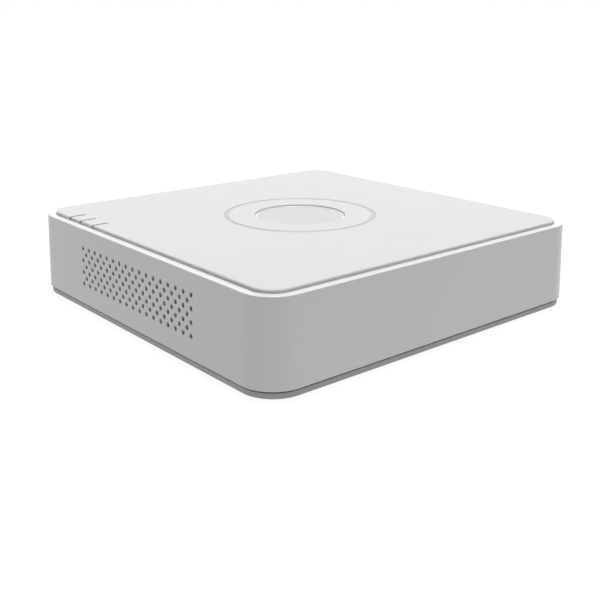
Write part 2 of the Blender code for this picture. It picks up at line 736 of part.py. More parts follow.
def make_video_sockets():
    """Bayonet sockets in two stacked pairs, each with its own panel nut."""
    number = 1
    tip = CASE_HALF + SOCKET_REACH
    width, depth, height = VIDEO_BLOCK
    bore = VIDEO_BARREL_RADIUS - 0.8
    for x in VIDEO_X:
        for z in VIDEO_Z:
            bm = bmesh.new()
            add_box(bm, (x - width / 2, SOCKET_BACK - depth, z - height / 2 + 0.02),
                    (x + width / 2, SOCKET_BACK, z + height / 2 - 0.02))
            socket = piece_of(f"video_socket_{number}", bm, NICKEL)
            barrel = bmesh.new()
            add_cylinder(barrel, (x, z), VIDEO_THREAD_RADIUS, SOCKET_BACK - 1, REAR_FACE + 3.5, "Y")
            combine(socket, "UNION", barrel)
            sleeve = bmesh.new()
            add_cylinder(sleeve, (x, z), VIDEO_BARREL_RADIUS, REAR_FACE + 2, tip, "Y")
            combine(socket, "UNION", sleeve)
            lugs = bmesh.new()
            lug_reach = VIDEO_BARREL_RADIUS + 1.1
            add_cylinder(lugs, (tip - 4.5, z), 1.0, x - lug_reach, x + lug_reach, "X", 10)
            combine(socket, "UNION", lugs)
            hollow = bmesh.new()
            add_cylinder(hollow, (x, z), bore, tip - 7.5, tip + 1, "Y")
            combine(socket, "DIFFERENCE", hollow)
            core = bmesh.new()
            add_cylinder(core, (x, z), 2.3, tip - 8.5, tip - 2, "Y", 12)
            combine(socket, "UNION", core)
            contact = bmesh.new()
            add_cylinder(contact, (x, z), 0.7, tip - 6, tip, "Y", 8)
            combine(socket, "DIFFERENCE", contact)

            nut = bmesh.new()
            across = VIDEO_NUT_FLATS / math.sqrt(3)
            add_cylinder(nut, (x, z), across, REAR_FACE + GAP,
                         REAR_FACE + GAP + VIDEO_NUT_THICK, "Y", 6)
            bmesh.ops.rotate(nut, cent=(x, REAR_FACE, z), verts=nut.verts,
                             matrix=Matrix.Rotation(math.radians(30), 3, "Y"))
            ring = piece_of(f"video_nut_{number}", nut, NICKEL)
            hole = bmesh.new()
            add_cylinder(hole, (x, z), VIDEO_THREAD_RADIUS + GAP, REAR_FACE - 1,
                         REAR_FACE + 5, "Y", 16)
            combine(ring, "DIFFERENCE", hole)
            number += 1


def make_audio_sockets():
    """Phono sockets, the line input above the line output."""
    width, depth, height = AUDIO_BLOCK
    for name, z in zip(("output", "input"), AUDIO_Z):
        bm = bmesh.new()
        add_box(bm, (AUDIO_X - width / 2, SOCKET_BACK - depth, z - height / 2),
                (AUDIO_X + width / 2, SOCKET_BACK, z + height / 2))
        socket = piece_of(f"audio_{name}_socket", bm, BLACK_PLASTIC)
        barrel = bmesh.new()
        add_cylinder(barrel, (AUDIO_X, z), AUDIO_RADIUS, SOCKET_BACK - 1, AUDIO_TIP, "Y")
        combine(socket, "UNION", barrel)
        hole = bmesh.new()
        add_cylinder(hole, (AUDIO_X, z), 1.7, AUDIO_TIP - 8, AUDIO_TIP + 1, "Y", 12)
        combine(socket, "DIFFERENCE", hole)


def make_vga_socket():
    """Analogue video socket with two hexagonal posts screwed in through the panel."""
    width, depth, height = VGA_BLOCK
    bm = bmesh.new()
    add_box(bm, (VGA_X - width / 2, SOCKET_BACK - depth, VGA_Z - height / 2),
            (VGA_X + width / 2, SOCKET_BACK, VGA_Z + height / 2))
    socket = piece_of("vga_socket", bm, BLUE_PLASTIC)
    shell = bmesh.new()
    add_vga_outline(shell, 0.0, SOCKET_BACK - 1, VGA_TIP)
    combine(socket, "UNION", shell)
    holes = bmesh.new()
    for side in (-0.5, 0.5):
        place = (VGA_X + side * VGA_POST_SPACING, VGA_Z)
        add_cylinder(holes, place, VGA_SCREW_HOLE, SOCKET_BACK - 6, SOCKET_BACK + 1, "Y", 12)
    combine(socket, "DIFFERENCE", holes)
    for name, side in (("left", -0.5), ("right", 0.5)):
        place = (VGA_X + side * VGA_POST_SPACING, VGA_Z)
        post = bmesh.new()
        add_cylinder(post, place, 2.8, REAR_FACE + GAP, VGA_TIP, "Y", 6)
        piece = piece_of("vga_post_" + name, post, NICKEL)
        shank = bmesh.new()
        add_cylinder(shank, place, 1.4, SOCKET_BACK - 5, REAR_FACE + 2, "Y", 12)
        combine(piece, "UNION", shank)
        thread = bmesh.new()
        add_cylinder(thread, place, 1.2, VGA_TIP - 4, VGA_TIP + 1, "Y", 10)
        combine(piece, "DIFFERENCE", thread)


def socket_box(name, x, size, tip, material):
    """A socket's outer box, standing on the board and ending at the given tip."""
    bm = bmesh.new()
    add_box(bm, (x - size[0] / 2, tip - size[1], PART_Z),
            (x + size[0] / 2, tip, PART_Z + size[2]))
    return piece_of(name, bm, material)


def add_port(bm, x, z, size, tip):
    """A rectangular port, centred at x and z, cut inwards from the tip."""
    add_box(bm, (x - size[0] / 2, tip - size[1], z - size[2] / 2),
            (x + size[0] / 2, tip + 1, z + size[2] / 2))


def add_tongue(bm, x, z, size, tip, port_depth):
    """A contact tongue rooted in the back of a port."""
    add_box(bm, (x - size[0] / 2, tip - port_depth - 1, z - size[1] / 2),
            (x + size[0] / 2, tip - 1.2, z + size[1] / 2))


def make_hdmi_socket():
    middle = PART_Z + HDMI_SIZE[2] / 2
    socket = socket_box("hdmi_socket", HDMI_X, HDMI_SIZE, HDMI_TIP, NICKEL)
    port = bmesh.new()
    add_port(port, HDMI_X, middle, HDMI_PORT, HDMI_TIP)
    combine(socket, "DIFFERENCE", port)
    tongue = bmesh.new()
    add_tongue(tongue, HDMI_X, middle + 0.3, HDMI_TONGUE, HDMI_TIP, HDMI_PORT[1])
    combine(socket, "UNION", tongue)


def make_network_jack():
    """Shielded jack whose port has a narrower slot below it for the plug's latch."""
    middle = PART_Z + NETWORK_SIZE[2] / 2
    jack = socket_box("network_jack", NETWORK_X, NETWORK_SIZE, NETWORK_TIP, NICKEL)
    port = bmesh.new()
    add_port(port, NETWORK_X, middle + 0.8, NETWORK_PORT, NETWORK_TIP)
    combine(jack, "DIFFERENCE", port)
    latch = bmesh.new()
    add_port(latch, NETWORK_X, middle - 3.4, NETWORK_LATCH, NETWORK_TIP)
    combine(jack, "DIFFERENCE", latch)


def make_usb_ports():
    ports = socket_box("usb_ports", USB_X, USB_SIZE, USB_TIP, NICKEL)
    for level in USB_LEVELS:
        z = PART_Z + level
        port = bmesh.new()
        add_port(port, USB_X, z, USB_PORT, USB_TIP)
        combine(ports, "DIFFERENCE", port)
        tongue = bmesh.new()
        add_tongue(tongue, USB_X, z + 0.8, USB_TONGUE, USB_TIP, USB_PORT[1])
        combine(ports, "UNION", tongue)


def make_power_jack():
    place = (POWER_X, PART_Z + POWER_SIZE[2] / 2)
    jack = socket_box("power_jack", POWER_X, POWER_SIZE, POWER_TIP, BLACK_PLASTIC)
    bore = bmesh.new()
    add_cylinder(bore, place, POWER_BORE, POWER_TIP - 10, POWER_TIP + 1, "Y")
    combine(jack, "DIFFERENCE", bore)
    pin = bmesh.new()
    add_cylinder(pin, place, POWER_PIN_RADIUS, POWER_TIP - 11, POWER_TIP - 1, "Y", 10)
    combine(jack, "UNION", pin)


def make_ground_screw():
    head = GROUND_HEAD_RADIUS
    shank = GROUND_SHANK_RADIUS
    profile = [
        (0.0, 2.9), (0.7 * head, 2.9), (head, 2.2), (head, GAP), (shank, GAP), (shank, -7.0), (0.0, -7.0),
    ]
    turned("ground_screw", profile, NICKEL, (GROUND_X, REAR_FACE, GROUND_Z), True, 16)


# ---------------------------------------------------------------- main board

def make_main_board():
    bm = bmesh.new()
    add_rounded_box(bm, (-BOARD_HALF, BOARD_FRONT, BOARD_BOTTOM),
                    (BOARD_HALF, BOARD_REAR, BOARD_TOP), 2.0)
    board = piece_of("main_board", bm, BOARD_GREEN)
    holes = bmesh.new()
    for place in BOARD_POSTS:
        add_cylinder(holes, place, 1.6, BOARD_BOTTOM - 1, BOARD_TOP + 1, sides=12)
    combine(board, "DIFFERENCE", holes)


def make_chip(name, place, size):
    x, y = place
    width, depth, height = size
    bm = bmesh.new()
    add_box(bm, (x - width / 2, y - depth / 2, PART_Z),
            (x + width / 2, y + depth / 2, PART_Z + height))
    piece_of(name, bm, CHIP_BLACK)


def make_heat_sink():
    """Finned block over the processor, with its fins along Y."""
    bm = bmesh.new()
    add_box(bm, (CHIP_X - SINK_HALF, CHIP_Y - SINK_HALF, SINK_Z),
            (CHIP_X + SINK_HALF, CHIP_Y + SINK_HALF, SINK_TOP))
    sink = piece_of("heat_sink", bm, ALUMINIUM)
    cuts = bmesh.new()
    pitch = (2 * SINK_HALF - SINK_FIN_WIDTH) / (SINK_FINS - 1)
    for fin in range(SINK_FINS - 1):
        left = CHIP_X - SINK_HALF + SINK_FIN_WIDTH + fin * pitch
        add_box(cuts, (left, CHIP_Y - SINK_HALF - 1, SINK_Z + SINK_BASE),
                (left + pitch - SINK_FIN_WIDTH, CHIP_Y + SINK_HALF + 1, SINK_TOP + 1))
    combine(sink, "DIFFERENCE", cuts)


def make_board_parts():
    """Everything that stands on the main board."""
    sink_gap = SINK_Z - GAP - PART_Z
    make_chip("processor", (CHIP_X, CHIP_Y), (PROCESSOR_WIDTH, PROCESSOR_WIDTH, sink_gap))
    make_heat_sink()
    for number, place in enumerate(MEMORY_PLACES, 1):
        make_chip(f"memory_chip_{number}", place, MEMORY_SIZE)
    make_chip("video_decoder", DECODER_AT, DECODER_SIZE)
    make_coin_cell()
    make_buzzer()
    make_power_parts()
    make_sata_socket()


def make_coin_cell():
    """Clock battery in a round holder that is open above."""
    bm = bmesh.new()
    add_cylinder(bm, CELL_AT, CELL_RADIUS + 2, PART_Z, PART_Z + 4.2, sides=20)
    holder = piece_of("cell_holder", bm, BLACK_PLASTIC)
    pocket = bmesh.new()
    add_cylinder(pocket, CELL_AT, CELL_RADIUS + GAP, CELL_FLOOR, PART_Z + 6, sides=20)
    combine(holder, "DIFFERENCE", pocket)
    cell = bmesh.new()
    add_cylinder(cell, CELL_AT, CELL_RADIUS, CELL_FLOOR + GAP, PART_Z + 4.5, sides=20)
    piece_of("coin_cell", cell, NICKEL)


def make_buzzer():
    bm = bmesh.new()
    add_cylinder(bm, BUZZER_AT, BUZZER_RADIUS, PART_Z, PART_Z + 8.5)
    buzzer = piece_of("buzzer", bm, BLACK_PLASTIC)
    mouth = bmesh.new()
    add_cylinder(mouth, BUZZER_AT, 1.1, PART_Z + 6, PART_Z + 10, sides=10)
    combine(buzzer, "DIFFERENCE", mouth)


def make_power_parts():
    """Two capacitors and the coil of the board's power supply."""
    for number, x in enumerate(CAPACITOR_X, 1):
        can = bmesh.new()
        add_cylinder(can, (x, CAPACITOR_Y), CAPACITOR_RADIUS, PART_Z, PART_Z + 11.5)
        piece_of(f"capacitor_{number}", can, BLACK_PLASTIC)
    x, y = INDUCTOR_AT
    coil = bmesh.new()
    add_rounded_box(coil, (x - INDUCTOR_HALF, y - INDUCTOR_HALF, PART_Z),
                    (x + INDUCTOR_HALF, y + INDUCTOR_HALF, PART_Z + 5.0), 2.0)
    piece_of("power_inductor", coil, FERRITE)


def make_sata_socket():
    x, y = SATA_AT
    bm = bmesh.new()
    add_box(bm, (x - 3.5, y - 8.5, PART_Z), (x + 3.5, y + 8.5, SATA_TOP))
    socket = piece_of("sata_socket", bm, BLACK_PLASTIC)
    slot = bmesh.new()
    add_box(slot, (x - 1.5, y - 6.0, PART_Z + 2.0), (x + 1.5, y + 6.0, SATA_TOP + 1))
    combine(socket, "DIFFERENCE", slot)


# ---------------------------------------------------------------- fan

def make_fan():
    """Axial fan, blowing down onto the heat sink: frame with its shaft, and rotor."""
    top = FAN_BOTTOM + FAN_HEIGHT
    half = SINK_HALF
    bm = bmesh.new()
    add_rounded_box(bm, (CHIP_X - half, CHIP_Y - half, FAN_BOTTOM),
                    (CHIP_X + half, CHIP_Y + half, top), 2.5)
    frame = piece_of("fan_frame", bm, BLACK_PLASTIC)
    bore = bmesh.new()
    add_cylinder(bore, (CHIP_X, CHIP_Y), FAN_BORE, FAN_BOTTOM - 1, top + 1, sides=24)
    for side in (-1, 1):
        for end in (-1, 1):
            place = (CHIP_X + side * FAN_SCREW_AT, CHIP_Y + end * FAN_SCREW_AT)
            add_cylinder(bore, place, 1.7, FAN_BOTTOM - 1, top + 1, sides=8)
    combine(frame, "DIFFERENCE", bore)
    struts = bmesh.new()
    add_box(struts, (CHIP_X - half + 0.6, CHIP_Y - FAN_STRUT_HALF, FAN_BOTTOM),
            (CHIP_X + half - 0.6, CHIP_Y + FAN_STRUT_HALF, FAN_BOTTOM + 1.5))
    combine(frame, "UNION", struts)
    cross = bmesh.new()
    add_box(cross, (CHIP_X - FAN_STRUT_HALF, CHIP_Y - half + 0.6, FAN_BOTTOM),
            (CHIP_X + FAN_STRUT_HALF, CHIP_Y + half - 0.6, FAN_BOTTOM + 1.5))
    combine(frame, "UNION", cross)
    motor = bmesh.new()
    add_cylinder(motor, (CHIP_X, CHIP_Y), FAN_HUB_RADIUS, FAN_BOTTOM, FAN_BOTTOM + 1.7)
    combine(frame, "UNION", motor)
    shaft = bmesh.new()
    add_cylinder(shaft, (CHIP_X, CHIP_Y), FAN_SHAFT_RADIUS, FAN_BOTTOM + 1, FAN_BOTTOM + 6, sides=10)
    combine(frame, "UNION", shaft)

    hub_low = FAN_BOTTOM + 2.2
    hub_high = top - 0.8
    origin = (CHIP_X, CHIP_Y, hub_low)
    hub = bmesh.new()
    add_cylinder(hub, (CHIP_X, CHIP_Y), FAN_HUB_RADIUS, hub_low, hub_high, sides=20)
    rotor = piece_of("fan_rotor", hub, BLACK_PLASTIC, origin)
    blades = bmesh.new()
    for number in range(FAN_BLADES):
        width, thickness = FAN_BLADE_HALF
        blade = add_box(blades, (FAN_HUB_RADIUS - 0.8, -width, -thickness), (FAN_BLADE_TIP, width, thickness))
        pitch = Matrix.Rotation(FAN_BLADE_PITCH, 4, "X")
        spin = Matrix.Rotation(2 * math.pi * number / FAN_BLADES, 4, "Z")
        place = Matrix.Translation((CHIP_X, CHIP_Y, (hub_low + hub_high) / 2))
        bmesh.ops.transform(blades, matrix=place @ spin @ pitch, verts=blade)
    combine(rotor, "UNION", blades)
    socket = bmesh.new()
    add_cylinder(socket, (CHIP_X, CHIP_Y), FAN_SHAFT_RADIUS + GAP, hub_low - 1, FAN_BOTTOM + 6.5, sides=10)
    combine(rotor, "DIFFERENCE", socket)


# ---------------------------------------------------------------- hard disk

def make_disk_base():
    """Cast tub with a spindle pin, an arm pin and a recess underneath for its board."""
    bm = bmesh.new()
    add_rounded_box(bm, (DISK_LEFT, DISK_FRONT, DISK_BOTTOM), (DISK_RIGHT, DISK_BACK, DISK_RIM), 3.0)
    base = piece_of("disk_base", bm, ALUMINIUM)
    cuts = bmesh.new()
    add_rounded_box(cuts, (DISK_LEFT + DISK_WALL, DISK_FRONT + DISK_WALL, DISK_FLOOR),
                    (DISK_CAVITY_RIGHT, DISK_BACK - DISK_WALL, DISK_RIM + 2), 4.0)
    add_box(cuts, (-25.0, DISK_FRONT + 7, DISK_BOTTOM - 1),
            (DISK_RIGHT + 1, DISK_BACK - 7, DISK_BOTTOM + 2.4))
    combine(base, "DIFFERENCE", cuts)
    notch = bmesh.new()
    add_box(notch, (DISK_RIGHT - 7, -70.0, DISK_BOTTOM + 1), (DISK_RIGHT + 1, -26.0, 14.5))
    combine(base, "DIFFERENCE", notch)
    pins = bmesh.new()
    add_cylinder(pins, SPINDLE, SPINDLE_RADIUS, DISK_FLOOR - 1, DISK_PIN_TOP, sides=16)
    add_cylinder(pins, ARM_PIVOT, ARM_PIN_RADIUS, DISK_FLOOR - 1, DISK_PIN_TOP, sides=12)
    combine(base, "UNION", pins)


def make_disk_lid():
    bm = bmesh.new()
    add_rounded_box(bm, (DISK_LEFT + 0.5, DISK_FRONT + 0.5, DISK_RIM + GAP),
                    (DISK_RIGHT - 0.5, DISK_BACK - 0.5, DISK_TOP), 3.0)
    piece_of("disk_lid", bm, ZINC_STEEL)


def make_platters():
    """Two platters on one hub, open underneath for the spindle pin."""
    lower, upper = PLATTER_Z
    bottom, top = HUB_Z
    hub = HUB_RADIUS
    bore = SPINDLE_RADIUS + 2 * GAP
    profile = [
        (0.0, top), (hub - 1, top), (hub, top - 1),
        (hub, upper + PLATTER_THICK), (PLATTER_RADIUS, upper + PLATTER_THICK),
        (PLATTER_RADIUS, upper), (hub, upper),
        (hub, lower + PLATTER_THICK), (PLATTER_RADIUS, lower + PLATTER_THICK),
        (PLATTER_RADIUS, lower), (hub, lower),
        (hub, bottom), (bore, bottom), (bore, DISK_PIN_TOP + 2 * GAP), (0.0, DISK_PIN_TOP + 2 * GAP),
    ]
    turned("disk_platters", profile, MIRROR_METAL, (*SPINDLE, 0.0), sides=28)


def make_head_arm():
    """Stack of three fingers and a coil tail on one hub that turns on the arm pin."""
    x, y = ARM_PIVOT
    place = Matrix.Translation((x, y, 0)) @ Matrix.Rotation(ARM_REST, 4, "Z")
    bm = bmesh.new()
    add_cylinder(bm, ARM_PIVOT, ARM_HUB_RADIUS, *ARM_HUB_Z, sides=18)
    arm = piece_of("head_arm", bm, ALUMINIUM, (x, y, 0.0))
    fingers = bmesh.new()
    for level in ARM_LEVELS:
        finger = add_box(fingers, (ARM_HUB_RADIUS / 2, -3.0, level), (ARM_LENGTH, 3.0, level + 1.0))
        for corner in finger:
            if corner.co.x > ARM_LENGTH - 1:
                corner.co.y *= 0.4
        bmesh.ops.transform(fingers, matrix=place, verts=finger)
    combine(arm, "UNION", fingers)
    tail = bmesh.new()
    coil = add_box(tail, (-ARM_TAIL, -7.0, 18.0), (-ARM_HUB_RADIUS / 2, 7.0, 20.0))
    for corner in coil:
        if corner.co.x > -ARM_HUB_RADIUS:
            corner.co.y *= 0.5
    bmesh.ops.transform(tail, matrix=place, verts=coil)
    combine(arm, "UNION", tail)
    bore = bmesh.new()
    add_cylinder(bore, ARM_PIVOT, ARM_PIN_RADIUS + 0.5, 10, 28, sides=12)
    combine(arm, "DIFFERENCE", bore)


def make_arm_magnet():
    """Magnet yoke, open towards the arm so that the coil tail swings inside it."""
    bm = bmesh.new()
    add_box(bm, (28.0, -84.2, DISK_FLOOR + GAP), (54.0, -66.5, 27.0))
    yoke = piece_of("arm_magnet", bm, NICKEL)
    slot = bmesh.new()
    add_box(slot, (26.0, -82.2, 16.8), (57.5, -65.0, 21.2))
    combine(yoke, "DIFFERENCE", slot)


def make_disk_board():
    """Circuit board under the disk, with the edge connector that takes both plugs."""
    bm = bmesh.new()
    add_box(bm, (-24.5, DISK_FRONT + 7.5, DISK_BOTTOM + 0.4),
            (DISK_RIGHT - 0.3, DISK_BACK - 7.5, DISK_BOTTOM + 1.9))
    board = piece_of("disk_board", bm, BOARD_GREEN)
    edge = bmesh.new()
    add_box(edge, (DISK_RIGHT - 6.5, -69.4, DISK_BOTTOM + 1.2), (DISK_RIGHT - 0.3, -26.6, 13.8))
    combine(board, "UNION", edge)


# ---------------------------------------------------------------- light board and cables

def make_light_board():
    """Indicator board, with a lamp under each light pipe."""
    left, right, front, back = LIGHT_BOARD
    top = LIGHT_BOARD_Z + 1.2
    bm = bmesh.new()
    add_box(bm, (left, front, LIGHT_BOARD_Z), (right, back, top))
    board = piece_of("light_board", bm, BOARD_GREEN)
    lamps = bmesh.new()
    for x in LIGHT_X:
        add_box(lamps, (x - 1.6, -91.0, top - 0.4), (x + 1.6, -88.5, top + 1.1))
    combine(board, "UNION", lamps)


def add_plug(cable, low, high):
    plug = bmesh.new()
    add_box(plug, low, high)
    combine(cable, "UNION", plug)


def make_cables():
    """Leads inside the case, each with the plugs on its ends."""
    x, y = SATA_AT
    start = DISK_RIGHT + GAP
    data = tube("sata_cable", (
        (76.0, -60.0, DISK_PLUG_Z), (84.0, -58.5, 11.5), (90.0, -50.0, 13.0),
        (91.5, -25.0, 15.0), (91.0, 0.0, 18.0), (87.0, 18.0, 23.0),
        (79.0, 27.5, 29.0), (71.5, 30.0, 27.5), (x, y, 20.0),
    ), 1.9, RED_PLASTIC)
    add_plug(data, (start, -66.0, 8.3), (start + 12, -54.0, 13.0))
    add_plug(data, (x - 3.2, y - 7.0, SATA_TOP + GAP), (x + 3.2, y + 7.0, PART_Z + 15.0))

    power = tube("disk_power_cable", (
        (76.0, -39.0, DISK_PLUG_Z + 0.5), (82.5, -36.5, 13.0), (84.5, -26.0, 17.0),
        (83.0, -8.0, 21.0), (76.0, 8.0, 23.0), (63.0, 19.0, 23.5),
        (54.0, 25.0, 21.5), (51.5, 27.0, 15.0),
    ), 2.3, BLACK_PLASTIC)
    add_plug(power, (start, -50.0, 8.3), (start + 12, -28.0, 13.6))
    add_plug(power, (46.0, 23.5, PART_Z), (57.0, 30.5, PART_Z + 8.0))

    fan_lead = tube("fan_lead", (
        (CHIP_X + SINK_HALF + 0.9, 58.0, 25.0), (CHIP_X + SINK_HALF + 4, 60.5, 23.5),
        (CHIP_X + SINK_HALF + 5.5, 64.5, 17.5), (CHIP_X + SINK_HALF + 5.5, 67.0, 12.0),
    ), 1.0, BLACK_PLASTIC)
    add_plug(fan_lead, (CHIP_X + SINK_HALF + 2.0, 65.0, PART_Z),
             (CHIP_X + SINK_HALF + 9.0, 69.5, PART_Z + 5.0))

    light_lead = tube("light_lead", (
        (-71.5, -82.6, 34.9), (-75.0, -77.0, 35.0), (-83.5, -70.0, 32.5),
        (-88.5, -58.0, 24.0), (-89.5, -40.0, 15.0), (-89.0, -10.0, 12.0),
        (-86.0, 14.0, 12.5), (-78.5, 28.0, 13.0), (-75.0, 35.5, 12.0),
    ), 1.2, CREAM_PLASTIC)
    add_plug(light_lead, (-78.0, 32.5, PART_Z), (-72.5, 39.5, PART_Z + 5.0))


def main():
    make_top_cover()
    make_top_panel()
    make_dish()
    make_light_pipes()
    make_base_tray()
    make_feet()
    make_case_screws()
    make_rear_panel()
    make_video_sockets()
    make_audio_sockets()
    make_vga_socket()
    make_hdmi_socket()
    make_network_jack()
    make_usb_ports()
    make_power_jack()
    make_ground_screw()
    make_main_board()
    make_board_parts()
    make_fan()
    make_disk_base()
    make_disk_lid()
    make_platters()
    make_head_arm()
    make_arm_magnet()
    make_disk_board()
    make_light_board()
    make_cables()


main()
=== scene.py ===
"""Looks of the compact video recorder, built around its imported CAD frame.

Lengths here are millimetres in the frame's own axes, and MM turns them into metres. Places and
sizes are read from the frame's nodes; the named values below are the details that the nodes
don't hold, such as edge radii and surface grain.
"""

import math

import bmesh
import bpy
from mathutils import Matrix, Vector


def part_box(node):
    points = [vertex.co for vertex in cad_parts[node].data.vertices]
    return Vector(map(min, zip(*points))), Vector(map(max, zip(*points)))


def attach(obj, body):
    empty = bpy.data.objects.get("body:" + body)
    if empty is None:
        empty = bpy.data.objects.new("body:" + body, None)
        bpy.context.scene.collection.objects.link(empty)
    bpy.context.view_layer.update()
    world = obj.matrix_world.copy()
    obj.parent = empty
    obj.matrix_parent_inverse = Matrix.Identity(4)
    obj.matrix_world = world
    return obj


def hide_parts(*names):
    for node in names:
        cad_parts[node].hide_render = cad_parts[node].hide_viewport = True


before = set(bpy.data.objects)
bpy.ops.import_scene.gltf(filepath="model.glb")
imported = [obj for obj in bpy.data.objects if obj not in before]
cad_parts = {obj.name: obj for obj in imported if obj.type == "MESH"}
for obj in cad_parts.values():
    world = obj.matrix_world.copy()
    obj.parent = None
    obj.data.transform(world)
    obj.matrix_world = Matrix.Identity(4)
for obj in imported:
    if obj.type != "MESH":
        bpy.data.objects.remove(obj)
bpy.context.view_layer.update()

MM = 0.001
BASE = "case_base"
COVER = "cover"


def node_box(name):
    """Lowest and highest corner of a CAD node, in millimetres."""
    low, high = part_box(name)
    return low / MM, high / MM


# ---------------------------------------------------------------- sizes

COVER_LOW, COVER_HIGH = node_box("top_cover")
PANEL_LOW, PANEL_HIGH = node_box("top_panel")
TRAY_LOW, TRAY_HIGH = node_box("base_tray")
REAR_LOW, REAR_HIGH = node_box("rear_panel")
DISH_LOW, DISH_HIGH = node_box("dish_inlay")
BOARD_TOP = node_box("main_board")[1].z

CASE_HALF = (COVER_HIGH.x - COVER_LOW.x) / 2
CASE_Y = COVER_LOW.y + CASE_HALF           # middle of the case, front to back
DRAFT = 1.8
WALL = 2.0
CASE_CORNER = 16.7
CORNER_STEPS = 18
SHELL_BOTTOM = COVER_LOW.z
LEDGE_Z = COVER_HIGH.z                     # outer edge of the ledge round the top panel
LEDGE_INNER_Z = LEDGE_Z - 0.15
LEDGE_ROUND = 0.45
POCKET_Z = PANEL_LOW.z - 0.3
ROOF_Z = POCKET_Z - WALL
CASE_TOP = PANEL_HIGH.z
PANEL_INSET = CASE_HALF - (PANEL_HIGH.x - PANEL_LOW.x) / 2
PANEL_CORNER = 10.6
PANEL_ROUND = 0.75
RING_RADIUS = 37.9
RING_WIDTH = 2.4
RING_DEPTH = 0.35
DISH_RADIUS = 23.3
DISH_RIM_Z = DISH_HIGH.z
DISH_SAG = 0.5
DISH_SLOPE = 0.35
DISH_BEAD = 1.0
LIGHTS = (("power", -69.5), ("disk", -58.4), ("network", -45.5))
LENS_DROP = 0.9
FOOT_NAMES = ("foot_front_left", "foot_front_right", "foot_rear_left", "foot_rear_right")
VENT_PITCH = 6.0
VENT_COLUMNS = 17
VENT_ROWS = 7
VENT_FIRST_Z = 15.9
VENT_RADIUS = 1.14
VENT_CHAMFER = 0.06
GRILLE_WALL = 1.2
GRILLE_MARGIN = 3.0
NOTCH_HALF = 84.0
NOTCH_TOP = 39.0
SCREW_AT = 87.0
LIP_TOP = 9.0

# Tray, posts and feet
BAND_TOP = 4.4
TRAY_FLOOR = 3.9
TRAY_CORNER = 15.8
LIP_INSET = 2.6
LIP_WALL = 1.8
POST_ROOT = TRAY_FLOOR - 0.5
BOSS_RADIUS = 4.4
BOSS_TOP = 7.6
POST_RADIUS = 3.2
BOARD_POSTS = ((-76.0, 24.0), (76.0, 24.0), (-76.0, 70.0), (76.0, 70.0))
DISK_POSTS = ((25.7, -83.8), (25.7, 11.4), (-50.5, -83.8), (-50.5, 11.4))
LIGHT_POSTS = ((-73.0, -91.2), (-42.0, -91.2))
PANEL_RIBS = (-82.5, -44.5, 26.0, 82.5)
FLOOR_SLOTS = (-60.0, 46.0)
SLOT_LENGTH = 36.0
SLOT_WIDTH = 3.0
SLOT_STEP = 8.0

# Rear sockets
SOCKET_FACE = REAR_LOW.y - 0.3             # front of the socket bodies, just inside the plate
PLATE_FACE = REAR_HIGH.y
VGA_HALF = 8.5                             # half width and half height of the D shell
VGA_RISE = 4.2

# Hard disk
ARM_PIN = (31.0, CASE_Y - 58.0)
ARM_REST = math.radians(109.4)
DISK_PIN_TOP = 24.0
DISK_FLOOR = 11.0

# Camera
CAMERA_AZIMUTH = 50.07
CAMERA_ELEVATION = 18.47
CAMERA_DISTANCE = 461.88
CAMERA_AIM = (6.0, -4.82, 0.74)            # from the middle of the case, on the floor
CAMERA_LENS = 52.96
SENSOR = 36.0

# Light
FLOOR = 0.15
FLOOR_GLOW = 0.92
SKY_SEEN = 1.0
SKY_MIRRORED = 1.6
SKY_DIM = 0.3                              # share of the mirrored sky left at the horizon
SKY_LOW = 0.02                             # sines of the heights between which it grows
SKY_HIGH = 0.28
SKY_FILL = 0.05
SUN = 3.25
SUN_ANGLE = 30.0
SUN_TILT = (-6.0, 1.0)                     # towards the rear and the right, in degrees


# ---------------------------------------------------------------- materials


def shader_material(name, color, roughness, metallic=0.0):
    """A new material with the given colour, roughness and metalness."""
    material = bpy.data.materials.new(name)
    material.use_nodes = True
    shader = material.node_tree.nodes["Principled BSDF"]
    shader.inputs["Base Color"].default_value = (*color, 1.0)
    shader.inputs["Roughness"].default_value = roughness
    shader.inputs["Metallic"].default_value = metallic
    return material, material.node_tree, shader


def noise(tree, scale, detail=3.0, stretch=None):
    """Noise in object coordinates, whose scale is features per metre."""
    source = tree.nodes.new("ShaderNodeTexCoord").outputs["Object"]
    if stretch:
        mapping = tree.nodes.new("ShaderNodeMapping")
        mapping.inputs["Scale"].default_value = stretch
        tree.links.new(source, mapping.inputs["Vector"])
        source = mapping.outputs["Vector"]
    texture = tree.nodes.new("ShaderNodeTexNoise")
    texture.inputs["Scale"].default_value = scale
    texture.inputs["Detail"].default_value = detail
    tree.links.new(source, texture.inputs["Vector"])
    return texture.outputs["Fac"]


def tint(tree, shader, factor, low, high, start=0.3, end=0.7):
    """Base colour blended between two colours by a factor."""
    node = tree.nodes.new("ShaderNodeValToRGB")
    for stop, position, color in zip(node.color_ramp.elements, (start, end), (low, high)):
        stop.position = position
        stop.color = (*color, 1.0)
    tree.links.new(factor, node.inputs["Fac"])
    tree.links.new(node.outputs["Color"], shader.inputs["Base Color"])


def spread(tree, factor, low, high, target):
    """An input fed with a factor that is moved from 0..1 to low..high."""
    node = tree.nodes.new("ShaderNodeMapRange")
    node.inputs["To Min"].default_value = low
    node.inputs["To Max"].default_value = high
    tree.links.new(factor, node.inputs["Value"])
    tree.links.new(node.outputs["Result"], target)
    return node


def bump(tree, shader, height, distance):
    node = tree.nodes.new("ShaderNodeBump")
    node.inputs["Strength"].default_value = 1.0
    node.inputs["Distance"].default_value = distance * MM
    tree.links.new(height, node.inputs["Height"])
    tree.links.new(node.outputs["Normal"], shader.inputs["Normal"])


def shade(color, factor):
    return tuple(min(1.0, part * factor) for part in color)


